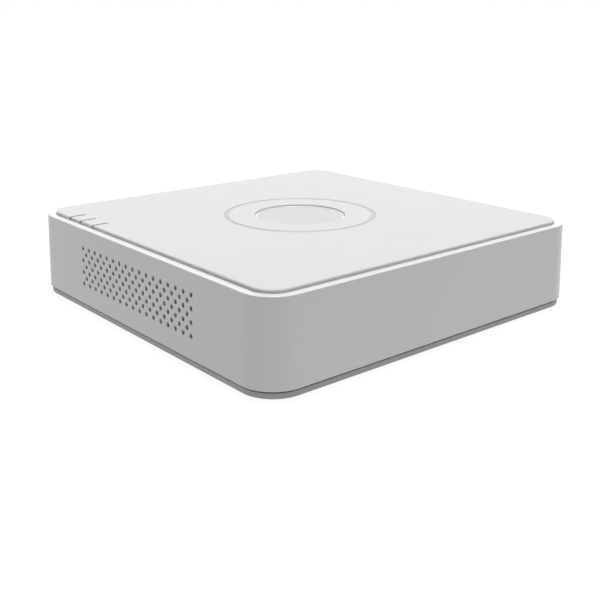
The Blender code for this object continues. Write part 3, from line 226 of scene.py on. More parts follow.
def moulded(name, color, roughness, grain=2500.0, depth=0.02, mottle=0.02, specular=0.5):
    """Moulded plastic or rubber: spark-eroded grain, faint flow mottling, uneven sheen."""
    material, tree, shader = shader_material(name, color, roughness)
    shader.inputs["Specular IOR Level"].default_value = specular
    tint(tree, shader, noise(tree, 18.0, 2.0), shade(color, 1 - mottle), shade(color, 1 + mottle))
    spread(tree, noise(tree, 60.0), roughness - 0.05, roughness + 0.05, shader.inputs["Roughness"])
    bump(tree, shader, noise(tree, grain, 2.0), depth)
    return material


def plated(name, color, roughness, grain=900.0, depth=0.006, mottle=0.05, stretch=(1.0, 1.0, 1.0)):
    """Bare or plated metal: fine lay marks along the unstretched axis and a patchy sheen."""
    material, tree, shader = shader_material(name, color, roughness, 1.0)
    tint(tree, shader, noise(tree, 45.0, 4.0), shade(color, 1 - mottle), shade(color, 1 + mottle))
    lay = noise(tree, grain, 3.0, stretch)
    spread(tree, lay, roughness * 0.75, roughness * 1.3, shader.inputs["Roughness"])
    bump(tree, shader, lay, depth)
    return material


def laminate(name, mask, weave):
    """Solder mask over glass cloth: a faint weave shows through the coloured varnish."""
    material, tree, shader = shader_material(name, mask, 0.32)
    shader.inputs["Coat Weight"].default_value = 0.4
    shader.inputs["Coat Roughness"].default_value = 0.15
    cloth = tree.nodes.new("ShaderNodeMath")
    cloth.operation = "MAXIMUM"
    for number, stretch in enumerate(((1.0, 0.12, 1.0), (0.12, 1.0, 1.0))):
        tree.links.new(noise(tree, 1600.0, 1.0, stretch), cloth.inputs[number])
    tint(tree, shader, cloth.outputs["Value"], mask, weave, 0.45, 0.7)
    bump(tree, shader, cloth.outputs["Value"], 0.01)
    return material


def translucent(name, color, roughness, transmission):
    """Clear or tinted plastic with faint flow haze inside."""
    material, tree, shader = shader_material(name, color, roughness)
    shader.inputs["Transmission Weight"].default_value = transmission
    shader.inputs["IOR"].default_value = 1.49
    haze = noise(tree, 220.0)
    tint(tree, shader, haze, shade(color, 0.94), shade(color, 1.04))
    spread(tree, haze, roughness * 0.7, roughness * 1.4, shader.inputs["Roughness"])
    return material


WHITE = moulded("case_white", (0.63, 0.63, 0.63), 0.30, 3000.0, 0.010, 0.01)
# Painted highlight: a lighter copy of the case white for the shell's ledge, its rounded edge and the dish's
# bead. It stands in for the shine they catch.
PAINTED_HIGHLIGHT = moulded("painted_highlight_white", (0.79, 0.79, 0.79), 0.24, 3000.0, 0.006, 0.01)
PANEL = moulded("panel_white", (0.62, 0.62, 0.62), 0.36, 3000.0, 0.004, 0.008, 0.35)
# Painted shade: a darker copy of the panel white for the ring groove, standing in for the shade inside it.
GROOVE_SHADE = moulded("groove_painted_shade", (0.47, 0.47, 0.47), 0.45, 3000.0, 0.006, 0.01)
# Painted shade: the dish inlay is a darker white than the panel, standing in for the shade in its sunk
# recess.
INLAY_SHADE = moulded("inlay_painted_shade", (0.555, 0.555, 0.555), 0.34, 3000.0, 0.004, 0.008, 0.35)
GREY = moulded("tray_grey", (0.36, 0.36, 0.36), 0.50)
CLEAR = translucent("clear_plastic", (0.55, 0.56, 0.56), 0.25, 0.25)
RUBBER = moulded("rubber", (0.030, 0.030, 0.031), 0.80, 1800.0, 0.05, 0.12)
BLACK = moulded("black_plastic", (0.018, 0.018, 0.019), 0.42, 2600.0, 0.012, 0.06)
BLUE = moulded("blue_plastic", (0.012, 0.050, 0.30), 0.40, 2600.0, 0.012, 0.05)
IVORY = moulded("ivory_plastic", (0.66, 0.62, 0.50), 0.45, 2600.0, 0.010, 0.04)
RED = moulded("red_plastic", (0.42, 0.015, 0.012), 0.38, 2600.0, 0.010, 0.05)
YELLOW = moulded("yellow_plastic", (0.62, 0.40, 0.02), 0.40, 2600.0, 0.010, 0.05)
CHIP = moulded("chip_black", (0.026, 0.026, 0.028), 0.55, 5200.0, 0.012, 0.10)
FERRITE = moulded("ferrite", (0.060, 0.060, 0.062), 0.60, 3500.0, 0.030, 0.15)
CERAMIC = moulded("ceramic", (0.36, 0.25, 0.14), 0.45, 5000.0, 0.006, 0.10)
SLEEVE = moulded("capacitor_sleeve", (0.012, 0.016, 0.045), 0.28, 2000.0, 0.006, 0.08)
PAPER = moulded("blank_label", (0.72, 0.72, 0.70), 0.55, 4200.0, 0.010, 0.03)
ZINC = plated("zinc_steel", (0.50, 0.51, 0.52), 0.34, 1800.0, 0.02, 0.08, (0.02, 1.0, 1.0))
SPANGLE = plated("stamped_steel", (0.36, 0.365, 0.37), 0.34, 1500.0, 0.012, 0.08, (1.0, 0.02, 1.0))
COPPER = plated("coil_copper", (0.60, 0.28, 0.12), 0.34, 1400.0, 0.01, 0.08)
NICKEL = plated("nickel", (0.64, 0.62, 0.58), 0.20, 1400.0, 0.003)
GOLD = plated("contact_gold", (0.76, 0.53, 0.20), 0.24, 1400.0, 0.003)
TIN = plated("solder_tin", (0.62, 0.62, 0.63), 0.36, 1800.0, 0.015, 0.10)
CASTING = plated("aluminium_casting", (0.52, 0.53, 0.54), 0.46, 1500.0, 0.035, 0.08)
FINNED = plated("aluminium", (0.64, 0.65, 0.67), 0.36, 1800.0, 0.010, 0.05, (1.0, 0.03, 1.0))
MIRROR = plated("mirror_metal", (0.80, 0.80, 0.81), 0.06, 60.0, 0.0005, 0.01)
BOARD = laminate("board_green", (0.006, 0.085, 0.036), (0.010, 0.115, 0.050))
TRACE = laminate("board_trace", (0.016, 0.170, 0.075), (0.020, 0.190, 0.085))
AMBER = translucent("amber_lamp", (0.85, 0.42, 0.05), 0.2, 0.5)
GREEN = translucent("green_lamp", (0.25, 0.70, 0.20), 0.2, 0.5)


# ---------------------------------------------------------------- mesh tools

def rounded_ring(half_x, half_y, radius, z, middle=(0.0, 0.0), steps=CORNER_STEPS):
    """Points of a rectangle with rounded corners, anticlockwise, at height z."""
    points = []
    for corner, (sx, sy) in enumerate(((1, 1), (-1, 1), (-1, -1), (1, -1))):
        cx = middle[0] + sx * (half_x - radius)
        cy = middle[1] + sy * (half_y - radius)
        for step in range(steps + 1):
            angle = math.pi / 2 * (corner + step / steps)
            points.append(Vector((cx + radius * math.cos(angle), cy + radius * math.sin(angle), z)))
    return points


def rounded_outline(half_x, half_y, radius, steps=5):
    """Outline of a rounded rectangle round the origin, for a prism."""
    return [tuple(point.xy) for point in rounded_ring(half_x, half_y, radius, 0.0, steps=steps)]


def box_ring(low, high, inset, radius, z, steps=10):
    """Rounded rectangle just inside a box, at height z."""
    half = (high - low) / 2
    return rounded_ring(half.x - inset, half.y - inset, radius, z, (low + high) / 2, steps)


def case_ring(inset, z, corner=CASE_CORNER):
    half = CASE_HALF - inset
    return rounded_ring(half, half, corner - inset, z, (0.0, CASE_Y))


def flat_ring(outline, place, height):
    """Points of a flat outline, at a height along the Z axis of place."""
    return [place @ Vector((x, y, height)) for x, y in outline]


def polar(radii):
    """Outline through points at these distances from the origin, at even turns."""
    turns = [2 * math.pi * step / len(radii) for step in range(len(radii))]
    return [(radius * math.cos(turn), radius * math.sin(turn)) for radius, turn in zip(radii, turns)]


def upright(x, y):
    """A place on the vertical line through x and y."""
    return Matrix.Translation((x, y, 0.0))


def along_y(x, z):
    """A place whose Z axis points to the rear, at the given x and z."""
    return Matrix.Translation((x, 0.0, z)) @ Matrix.Rotation(-math.pi / 2, 4, "X")


def path_frames(path):
    """Each point of a path with its side and upright directions, without twist."""
    frames = []
    side = None
    for i, point in enumerate(path):
        ahead = path[min(i + 1, len(path) - 1)] - path[max(i - 1, 0)]
        ahead.normalize()
        if side is None:
            side = ahead.cross(Vector((0, 0, 1)))
            if side.length < 0.1:
                side = ahead.cross(Vector((0, 1, 0)))
        side = (side - ahead * side.dot(ahead)).normalized()
        frames.append((point, side, side.cross(ahead)))
    return frames


def smooth_path(points, per_span=8):
    """Points of a Catmull-Rom curve through the given points."""
    points = [Vector(point) for point in points]
    ends = [2 * points[0] - points[1], *points, 2 * points[-1] - points[-2]]
    path = [points[0]]
    for before, start, end, after in zip(ends, ends[1:], ends[2:], ends[3:]):
        for step in range(1, per_span + 1):
            t = step / per_span
            path.append(0.5 * (2 * start + (end - before) * t
                               + (2 * before - 5 * start + 4 * end - after) * t * t
                               + (3 * start - before - 3 * end + after) * t * t * t))
    return path


class Draft:
    """A mesh being drawn in millimetres. Each call adds a shape and returns the draft."""

    def __init__(self):
        self.bm = bmesh.new()

    def skin(self, rings, closed=False):
        """Faces over a stack of matching rings, which may close on itself; gives the rings' points."""
        loops = [[self.bm.verts.new(point) for point in ring] for ring in rings]
        for this, following in zip(loops, loops[1:] + (loops[:1] if closed else [])):
            for i in range(len(this)):
                j = (i + 1) % len(this)
                self.bm.faces.new((this[i], this[j], following[j], following[i]))
        return loops

    def loft(self, rings):
        """A stack of matching rings with a cap on the first and last."""
        loops = self.skin(rings)
        self.bm.faces.new(loops[0])
        self.bm.faces.new(loops[-1])
        return self

    def lathe(self, profile, place, steps=32):
        """A solid of revolution of (radius, height) points about the Z axis of place.

        A profile that starts and ends on the axis closes there; any other closes on itself.
        """
        closed = profile[0][0] > 0.0
        turned = profile if closed else profile[1:-1]
        loops = self.skin([flat_ring(polar([radius] * steps), place, height) for radius, height in turned],
                          closed)
        if not closed:
            for loop, height in ((loops[0], profile[0][1]), (loops[-1], profile[-1][1])):
                tip = self.bm.verts.new(place @ Vector((0.0, 0.0, height)))
                for i in range(steps):
                    self.bm.faces.new((loop[i], loop[(i + 1) % steps], tip))
        return self

    def rod(self, radius, start, end, place, steps=32):
        return self.lathe([(0.0, start), (radius, start), (radius, end), (0.0, end)], place, steps)

    def block(self, low, high, radius=0.0, segments=2):
        """A box between two corners, with every edge rounded."""
        low = Vector(low)
        high = Vector(high)
        place = Matrix.Translation((low + high) / 2) @ Matrix.Diagonal((*(high - low), 1.0))
        verts = bmesh.ops.create_cube(self.bm, size=1.0, matrix=place)["verts"]
        if radius > 0.0:
            edges = list({edge for vert in verts for edge in vert.link_edges})
            bmesh.ops.bevel(self.bm, geom=edges, offset=radius, segments=segments, profile=0.5,
                            affect="EDGES", clamp_overlap=True)
        return self

    def prism(self, outline, place, start, end):
        """A flat outline in the XY plane of place, pushed from start to end along its Z."""
        return self.loft([flat_ring(outline, place, start), flat_ring(outline, place, end)])

    def plate(self, low, high, radius, start, end, inset=0.0):
        """A flat board with rounded corners, inset from the sides of a box, between two heights."""
        return self.loft([box_ring(low, high, inset, radius, z, 5) for z in (start, end)])

    def shell(self, outer, inner, place, start, end, back):
        """A box-like shell from start to end, hollow down to back, with the given outlines."""
        return self.loft([flat_ring(outline, place, height) for outline, height in
                          ((outer, start), (outer, end), (inner, end), (inner, back))])

    def tube(self, path, radius, sides=10, flat=1.0, start_turn=0.0):
        """A closed tube along a path; flat squeezes it into a ribbon across the upright direction."""
        rings = []
        for point, side, up in path_frames(path):
            turns = [2 * math.pi * step / sides + start_turn for step in range(sides)]
            rings.append([point + side * radius * math.cos(turn) + up * radius * flat * math.sin(turn)
                          for turn in turns])
        return self.loft(rings)

    def hexagon(self, place, flats, bore, start, end, chamfer):
        """A hexagon nut: flats across, a round bore, and corners chamfered at both faces."""
        count = 72
        sixth = math.pi / 3
        outer = [flats / 2 / math.cos((2 * math.pi * step / count + sixth / 2) % sixth - sixth / 2)
                 for step in range(count)]
        limited = [min(radius, flats / 2 * 1.03) for radius in outer]
        mouth = [bore + 0.25] * count
        hole = [bore] * count
        levels = ((mouth, start), (limited, start), (outer, start + chamfer), (outer, end - chamfer),
                  (limited, end), (mouth, end), (hole, end - 0.25), (hole, start + 0.25))
        self.skin([flat_ring(polar(radii), place, height) for radii, height in levels], closed=True)
        return self


def finished_mesh(name, draft, angle):
    bm = draft.bm
    bmesh.ops.recalc_face_normals(bm, faces=bm.faces)
    bmesh.ops.scale(bm, vec=(MM, MM, MM), verts=bm.verts)
    mesh = bpy.data.meshes.new(name)
    bm.to_mesh(mesh)
    bm.free()
    mesh.shade_smooth()
    mesh.set_sharp_from_angle(angle=math.radians(angle))
    return mesh


def piece(name, draft, material, node=None, body=BASE, angle=32.0):
    """Make a visible piece of a draft, fasten it to a body, and let it stand for a CAD node."""
    thing = bpy.data.objects.new(name, finished_mesh(name, draft, angle))
    thing.data.materials.append(material)
    bpy.context.scene.collection.objects.link(thing)
    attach(thing, body)
    if node:
        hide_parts(node)
    return thing


def carve(thing, draft, operation="DIFFERENCE"):
    """Cut or join a piece with a draft, and keep only the result."""
    tool = bpy.data.objects.new("tool", finished_mesh("tool", draft, 32.0))
    bpy.context.scene.collection.objects.link(tool)
    modifier = thing.modifiers.new("carve", "BOOLEAN")
    modifier.object = tool
    modifier.operation = operation
    modifier.solver = "EXACT"
    graph = bpy.context.evaluated_depsgraph_get()
    result = bpy.data.meshes.new_from_object(thing.evaluated_get(graph))
    thing.modifiers.clear()
    thing.data = result
    bpy.data.objects.remove(tool, do_unlink=True)


def weigh_normals(thing, angle=32.0):
    """Keep flat faces flat in the shading, next to their rounded edges."""
    thing.data.shade_smooth()
    thing.data.set_sharp_from_angle(angle=math.radians(angle))
    modifier = thing.modifiers.new("flat_faces", "WEIGHTED_NORMAL")
    modifier.keep_sharp = True
    modifier.weight = 100


def second_material(thing, material, chosen):
    """Give the faces that the test picks a second material."""
    thing.data.materials.append(material)
    for face in thing.data.polygons:
        if chosen(face):
            face.material_index = 1


def centre(name):
    """Middle of a node's box."""
    low, high = node_box(name)
    return (low + high) / 2


def turned_node(name):
    """Corners of a round node's box, its radius, and a place on its vertical axis."""
    low, high = node_box(name)
    middle = (low + high) / 2
    return low, high, (high.x - low.x) / 2, upright(middle.x, middle.y)


def rear_node(name):
    """Corners of a socket's node, the x and z of its middle, and a place there that points to the rear."""
    low, high = node_box(name)
    x = (low.x + high.x) / 2
    z = (low.z + high.z) / 2
    return low, high, x, z, along_y(x, z)


# ---------------------------------------------------------------- case

def corners(distance):
    return [(x, CASE_Y + y) for y in (-distance, distance) for x in (-distance, distance)]


def wall_front(z):
    """Y of the drafted front wall's outer face at height z."""
    lean = DRAFT * (z - SHELL_BOTTOM) / (LEDGE_Z - LEDGE_ROUND - SHELL_BOTTOM)
    return CASE_Y - CASE_HALF + lean


def edge_round(inset, z, radius, steps, corner=CASE_CORNER, way=1):
    """Rings of a rounded edge that turns from the wall at inset inwards to height z, upwards or down."""
    turns = [math.pi / 2 * step / steps for step in range(steps + 1)]
    return [case_ring(inset + radius * (1 - math.cos(turn)), z - way * radius * (1 - math.sin(turn)), corner)
            for turn in turns]


def make_shell():
    rim = 0.25
    rings = [
        case_ring(WALL + DRAFT, ROOF_Z),
        case_ring(WALL, SHELL_BOTTOM + rim),
        case_ring(WALL - rim, SHELL_BOTTOM),
        case_ring(rim, SHELL_BOTTOM),
        case_ring(0.0, SHELL_BOTTOM + rim),
        *edge_round(DRAFT, LEDGE_Z, LEDGE_ROUND, 6),
        case_ring(PANEL_INSET - 0.4, LEDGE_INNER_Z),
        case_ring(PANEL_INSET - 0.2, LEDGE_INNER_Z - 0.15),
        case_ring(PANEL_INSET - 0.2, POCKET_Z),
    ]
    shell = piece("shell", Draft().loft(rings), WHITE, "top_cover", COVER)
    bosses = Draft()
    for x, y in corners(SCREW_AT):
        bosses.lathe([(1.7, 7.9), (1.7, 21.0), (0.4, 21.4), (0.4, ROOF_Z + 0.4),
                      (4.4, ROOF_Z + 0.4), (4.4, 8.1), (4.2, 7.9)], upright(x, y), 28)
    carve(shell, bosses, "UNION")
    half = (VENT_COLUMNS - 1) / 2 * VENT_PITCH + GRILLE_MARGIN
    grille_top = VENT_FIRST_Z + (VENT_ROWS - 1) / 2 * VENT_PITCH
    thinning = Draft().block((-half, GRILLE_WALL, VENT_FIRST_Z - GRILLE_MARGIN),
                             (half, WALL + 1, grille_top + GRILLE_MARGIN))
    for corner in thinning.bm.verts:
        corner.co.y += wall_front(corner.co.z)
    carve(shell, thinning)
    carve(shell, vents())
    openings = Draft().block((-NOTCH_HALF, CASE_Y + CASE_HALF - 9, 0),
                             (NOTCH_HALF, CASE_Y + CASE_HALF + 2, NOTCH_TOP))
    for name, x in LIGHTS:
        low, high = node_box("light_pipe_" + name)
        openings.block((x - 0.7, low.y + 0.6, ROOF_Z - 1), (x + 0.7, high.y - 1.1, POCKET_Z + 0.3))
    carve(shell, openings)
    # Painted highlight: the ledge top and its rounded outer edge get the lighter white, though they are the
    # same plastic as the rest of the shell.
    ledge = (LEDGE_Z - 0.6) * MM
    second_material(shell, PAINTED_HIGHLIGHT, lambda face: face.normal.z > 0.35 and face.center.z > ledge)
    weigh_normals(shell)


def vents():
    """Slightly flared round holes through the front wall, in staggered rows."""
    holes = Draft()
    flare = VENT_RADIUS + 2 * VENT_CHAMFER
    for row in range(VENT_ROWS):
        columns = VENT_COLUMNS - row % 2
        z = VENT_FIRST_Z + row * VENT_PITCH / 2
        outside = wall_front(z)
        for column in range(columns):
            x = (column - (columns - 1) / 2) * VENT_PITCH
            holes.lathe([(0.0, outside + 6), (VENT_RADIUS, outside + 6),
                         (VENT_RADIUS, outside + VENT_CHAMFER), (flare, outside - VENT_CHAMFER),
                         (flare, outside - 3), (0.0, outside - 3)],
                        along_y(x, z), 16)
    return holes


def in_groove(face):
    """Whether a face of the top panel belongs to the ring groove round the dish, which takes the painted
    shade.
    """
    reach = math.hypot(face.center.x, face.center.y - CASE_Y * MM) / MM
    depth = CASE_TOP - face.center.z / MM
    return abs(reach - RING_RADIUS) < RING_WIDTH / 2 and 0.005 < depth < RING_DEPTH + 0.005


def make_top_panel():
    corner = PANEL_CORNER + PANEL_INSET
    rings = [case_ring(PANEL_INSET, PANEL_LOW.z, corner)]
    rings += edge_round(PANEL_INSET, CASE_TOP, PANEL_ROUND, 5, corner)
    panel = piece("panel", Draft().loft(rings), PANEL, "top_panel", COVER)
    middle = upright(0, CASE_Y)
    soft = 0.2
    foot = DISH_RADIUS - DISH_SLOPE
    opening = [(0.0, CASE_TOP + 1), (DISH_RADIUS + soft + 1, CASE_TOP + 1), (DISH_RADIUS + soft, CASE_TOP),
               (DISH_RADIUS + 0.25 * soft, CASE_TOP - 0.3 * soft),
               (DISH_RADIUS - 0.3 * soft, CASE_TOP - soft),
               (foot, DISH_RIM_Z), (foot, PANEL_LOW.z - 1), (0.0, PANEL_LOW.z - 1)]
    carve(panel, Draft().lathe(opening, middle, 128))
    over = 0.04
    groove = []
    for step in range(11):
        angle = math.pi * step / 10
        groove.append((RING_RADIUS + RING_WIDTH / 2 * math.cos(angle),
                       CASE_TOP + over - (RING_DEPTH + over) * math.sin(angle)))
    carve(panel, Draft().lathe(groove, middle, 160))
    slots = Draft()
    for name, x in LIGHTS:
        low, high = node_box("light_pipe_" + name)
        half = (high.x - low.x) / 2 + 0.28
        slots.block((x - half, low.y - 6, PANEL_LOW.z - 1), (x + half, high.y + 0.15, CASE_TOP + 1))
    carve(panel, slots)
    # Painted shade: the faces of the ring groove get the darker white, standing in for the shade inside the
    # groove.
    second_material(panel, GROOVE_SHADE, in_groove)
    weigh_normals(panel)


def make_dish():
    """Shallow dished inlay inside a rounded bead."""
    radius = DISH_RADIUS - DISH_SLOPE - 0.08
    inner = radius - DISH_BEAD
    floor = DISH_RIM_Z - DISH_SAG
    profile = [(0.0, floor)]
    for step in range(1, 15):
        share = step / 14
        profile.append((inner * share, floor + (DISH_SAG - 0.2) * share * share))
    for step in range(1, 7):
        angle = math.pi * (1 - step / 6)
        profile.append((radius - DISH_BEAD / 2 * (1 - math.cos(angle)),
                        DISH_RIM_Z - 0.25 + 0.25 * math.sin(angle)))
    profile += [(radius, DISH_LOW.z), (0.0, DISH_LOW.z)]
    inlay = Draft().lathe(profile, upright(0, CASE_Y), 128)
    # Painted shade: the inlay's darker white stands in for the shade of the sunk dish.
    dish = piece("dish", inlay, INLAY_SHADE, "dish_inlay", COVER, angle=40.0)
    # Painted highlight: the top of the bead gets the lighter white, standing in for the shine along its
    # rounded crest.
    bead_foot = (DISH_RIM_Z - 0.2) * MM
    second_material(dish, PAINTED_HIGHLIGHT, lambda face: face.normal.z > 0.3 and face.center.z > bead_foot)


def make_light_pipes():
    """Lenses in the panel's slots, each on a stem that reaches down to its lamp."""
    for name, x in LIGHTS:
        node = "light_pipe_" + name
        low, high = node_box(node)
        half = (high.x - low.x) / 2
        pipe = Draft().block((x - half, low.y, PANEL_LOW.z), (x + half, high.y, high.z - LENS_DROP), 0.12)
        half -= 0.02
        pipe.block((x - half, low.y + 1.1, low.z), (x + half, high.y - 1.4, PANEL_LOW.z + 0.5), 0.1)
        piece(node + "_lens", pipe, CLEAR, node, COVER)


def add_post(draft, x, y, radius, top, bore=0.0):
    """A moulded post on the tray floor, with a soft edge and perhaps a screw hole."""
    soft = 0.3
    profile = [(radius - soft, top), (radius, top - soft), (radius + 0.15, POST_ROOT)]
    if bore > 0.0:
        profile += [(bore, POST_ROOT), (bore, top - soft), (bore + soft, top)]
    else:
        profile = [(0.0, top), *profile, (0.0, POST_ROOT)]
    draft.lathe(profile, upright(x, CASE_Y + y), 28)


def slot_outline(reach, radius, steps=8):
    """A long hole with round ends, reaching that far each side of the middle."""
    turns = [math.pi * (step / steps - 0.5) for step in range(steps + 1)]
    return [(side * (reach + radius * math.cos(turn)), side * radius * math.sin(turn))
            for side in (1, -1) for turn in turns]


def make_tray():
    inset = CASE_HALF - TRAY_HIGH.x
    corner = TRAY_CORNER + inset
    lip = LIP_INSET + LIP_WALL
    rings = [
        *edge_round(inset, TRAY_LOW.z, 0.6, 4, corner, -1)[::-1],
        case_ring(inset, BAND_TOP - 0.2, corner),
        case_ring(inset + 0.2, BAND_TOP, corner),
        case_ring(LIP_INSET + 0.3, BAND_TOP),
        case_ring(LIP_INSET + 0.3, SHELL_BOTTOM + 0.4),
        case_ring(LIP_INSET, SHELL_BOTTOM + 0.7),
        case_ring(LIP_INSET, LIP_TOP - 0.3),
        case_ring(LIP_INSET + 0.3, LIP_TOP),
        case_ring(lip - 0.3, LIP_TOP),
        case_ring(lip, LIP_TOP - 0.3),
        case_ring(lip, TRAY_FLOOR + 0.5),
        case_ring(lip + 0.15, TRAY_FLOOR + 0.15),
        case_ring(lip + 0.5, TRAY_FLOOR),
    ]
    tray = piece("tray", Draft().loft(rings), GREY, "base_tray")
    lip_inner = CASE_Y + CASE_HALF - lip
    carve(tray, Draft().block((REAR_LOW.x - 0.3, lip_inner - 3, TRAY_FLOOR + 0.01),
                              (REAR_HIGH.x + 0.3, CASE_Y + CASE_HALF + 1, LIP_TOP + 1)))
    carve(tray, tray_posts(), "UNION")
    recesses = Draft()
    for name in FOOT_NAMES:
        _, high, reach, place = turned_node(name)
        reach += 0.25
        recesses.lathe([(0.0, high.z + 0.2), (reach, high.z + 0.2), (reach, TRAY_LOW.z + 0.2),
                        (reach + 0.4, TRAY_LOW.z - 0.2), (0.0, TRAY_LOW.z - 0.2)], place, 48)
    for x, y in corners(SCREW_AT):
        recesses.lathe([(0.0, BOSS_TOP + 1), (1.7, BOSS_TOP + 1), (1.7, TRAY_FLOOR + 0.2),
                        (3.3, TRAY_FLOOR + 0.2), (3.3, TRAY_LOW.z + 0.2), (3.7, TRAY_LOW.z - 0.2),
                        (0.0, TRAY_LOW.z - 0.2)], upright(x, y), 40)
    carve(tray, recesses)
    slots = Draft()
    outline = slot_outline((SLOT_LENGTH - SLOT_WIDTH) / 2, SLOT_WIDTH / 2)
    for middle in FLOOR_SLOTS:
        for step in range(-2, 3):
            slots.prism(outline, upright(0, CASE_Y + middle + step * SLOT_STEP),
                        TRAY_LOW.z - 1, TRAY_FLOOR + 1)
    carve(tray, slots)
    weigh_normals(tray)


def tray_posts():
    """Posts under the boards and the disk, screw bosses, and ribs in front of the rear plate."""
    posts = Draft()
    board_bottom = node_box("main_board")[0].z
    disk_bottom = node_box("disk_base")[0].z
    light_bottom = node_box("light_board")[0].z
    for places, radius, top, bore in ((BOARD_POSTS, POST_RADIUS, board_bottom - 0.3, 1.2),
                                      (DISK_POSTS, POST_RADIUS, disk_bottom - 0.3, 1.2),
                                      (LIGHT_POSTS, 2.0, light_bottom - 0.3, 0.0)):
        for x, y in places:
            add_post(posts, x, y, radius, top, bore)
    for x, y in corners(SCREW_AT):
        add_post(posts, x, y - CASE_Y, BOSS_RADIUS, BOSS_TOP)
    for x in PANEL_RIBS:
        posts.block((x - 0.8, CASE_Y + 93.3, POST_ROOT), (x + 0.8, SOCKET_FACE, board_bottom), 0.2)
    return posts


def make_feet():
    """Stick-on rubber feet with a rounded rim and shallow rings underneath."""
    for name in FOOT_NAMES:
        _, high, radius, place = turned_node(name)
        profile = [(0.0, high.z), (radius - 0.1, high.z), (radius, high.z - 0.1), (radius, 0.5),
                   (radius - 0.15, 0.15), (radius - 0.5, 0.0)]
        for ring in (4.5, 3.3, 2.1, 0.9):
            profile += [(ring + 0.15, 0.0), (ring, 0.15), (ring - 0.15, 0.0)]
        profile.append((0.0, 0.0))
        piece(name + "_pad", Draft().lathe(profile, place, 56), RUBBER, name, angle=50.0)


def cut_cross(thing, place, reach, width, start, end):
    """Cut a cross recess with one bar at a time, so that the tools never overlap."""
    for turn in (0.0, math.pi / 2):
        spin = place @ Matrix.Rotation(turn, 4, "Z")
        ends = []
        for height, far in ((start, reach), (end, reach * 0.4)):
            outline = [(sx * far, sy * width / 2) for sx, sy in ((1, 1), (-1, 1), (-1, -1), (1, -1))]
            ends.append(flat_ring(outline, spin, height))
        carve(thing, Draft().loft(ends))


def thread_profile(radius, start, end, pitch, depth):
    """Crests and roots of a screw thread, from start down to end."""
    profile = []
    height = start
    while height - pitch > end:
        profile += [(radius - depth, height), (radius, height - pitch * 0.4), (radius, height - pitch * 0.6)]
        height -= pitch
    return profile + [(radius - depth, height)]


def make_case_screws():
    """Four self-tapping screws, put in from below through the tray into the shell."""
    under_head = TRAY_FLOOR - 0.1
    for number in range(1, 5):
        name = f"case_screw_{number}"
        low, high, head, place = turned_node(name)
        profile = [(0.0, high.z), (0.35, high.z - 0.3),
                   *thread_profile(1.4, high.z - 1.4, under_head + 1.2, 1.1, 0.35),
                   (1.15, under_head), (head, under_head), (head, low.z + 0.6), (head - 0.3, low.z + 0.15),
                   (head - 0.8, low.z), (0.0, low.z)]
        screw = piece(name + "_turned", Draft().lathe(profile, place, 36), NICKEL, name,
                      angle=40.0)
        cut_cross(screw, place, 1.7, 0.55, low.z - 0.2, low.z + 1.3)


# ---------------------------------------------------------------- rear panel and sockets

def d_outline(inset, radius, steps=5):
    """Outline of the D-shaped video socket less an inset, narrower at its lower edge; its +y is down."""
    slope = 1.6
    half = VGA_HALF - inset
    rise = VGA_RISE - inset
    knots = [Vector((half, -rise)), Vector((-half, -rise)), Vector((slope - half, rise)),
             Vector((half - slope, rise))]
    outline = []
    for i, knot in enumerate(knots):
        before = (knots[i - 1] - knot).normalized()
        after = (knots[(i + 1) % 4] - knot).normalized()
        for step in range(steps + 1):
            share = step / steps
            outline.append(tuple(knot + radius * (before * (1 - share) ** 2 + after * share ** 2)))
    return outline


def make_rear_plate():
    """Zinc-plated steel plate with a clean opening for each socket."""
    plate = piece("rear_plate", Draft().block(REAR_LOW, REAR_HIGH, 0.25), ZINC, "rear_panel")
    near = REAR_LOW.y - 1
    far = PLATE_FACE + 1
    holes = Draft()
    round_holes = [(f"video_nut_{number}", 5.45, 48) for number in range(1, 5)]
    round_holes += [("audio_input_socket", 4.65, 40), ("audio_output_socket", 4.65, 40),
                    ("vga_post_left", 1.65, 24), ("vga_post_right", 1.65, 24), ("ground_screw", 2.0, 24)]
    for name, radius, steps in round_holes:
        holes.rod(radius, far, near, rear_node(name)[-1], steps)
    carve(plate, holes)
    windows = Draft().prism(d_outline(-0.25, 1.6), rear_node("vga_socket")[-1], near, far)
    for name in ("hdmi_socket", "network_jack", "usb_ports", "power_jack"):
        low, high, *_, place = rear_node(name)
        outline = rounded_outline((high.x - low.x) / 2 + 0.25, (high.z - low.z) / 2 + 0.25, 0.5)
        windows.prism(outline, place, near, far)
    carve(plate, windows)
    weigh_normals(plate)


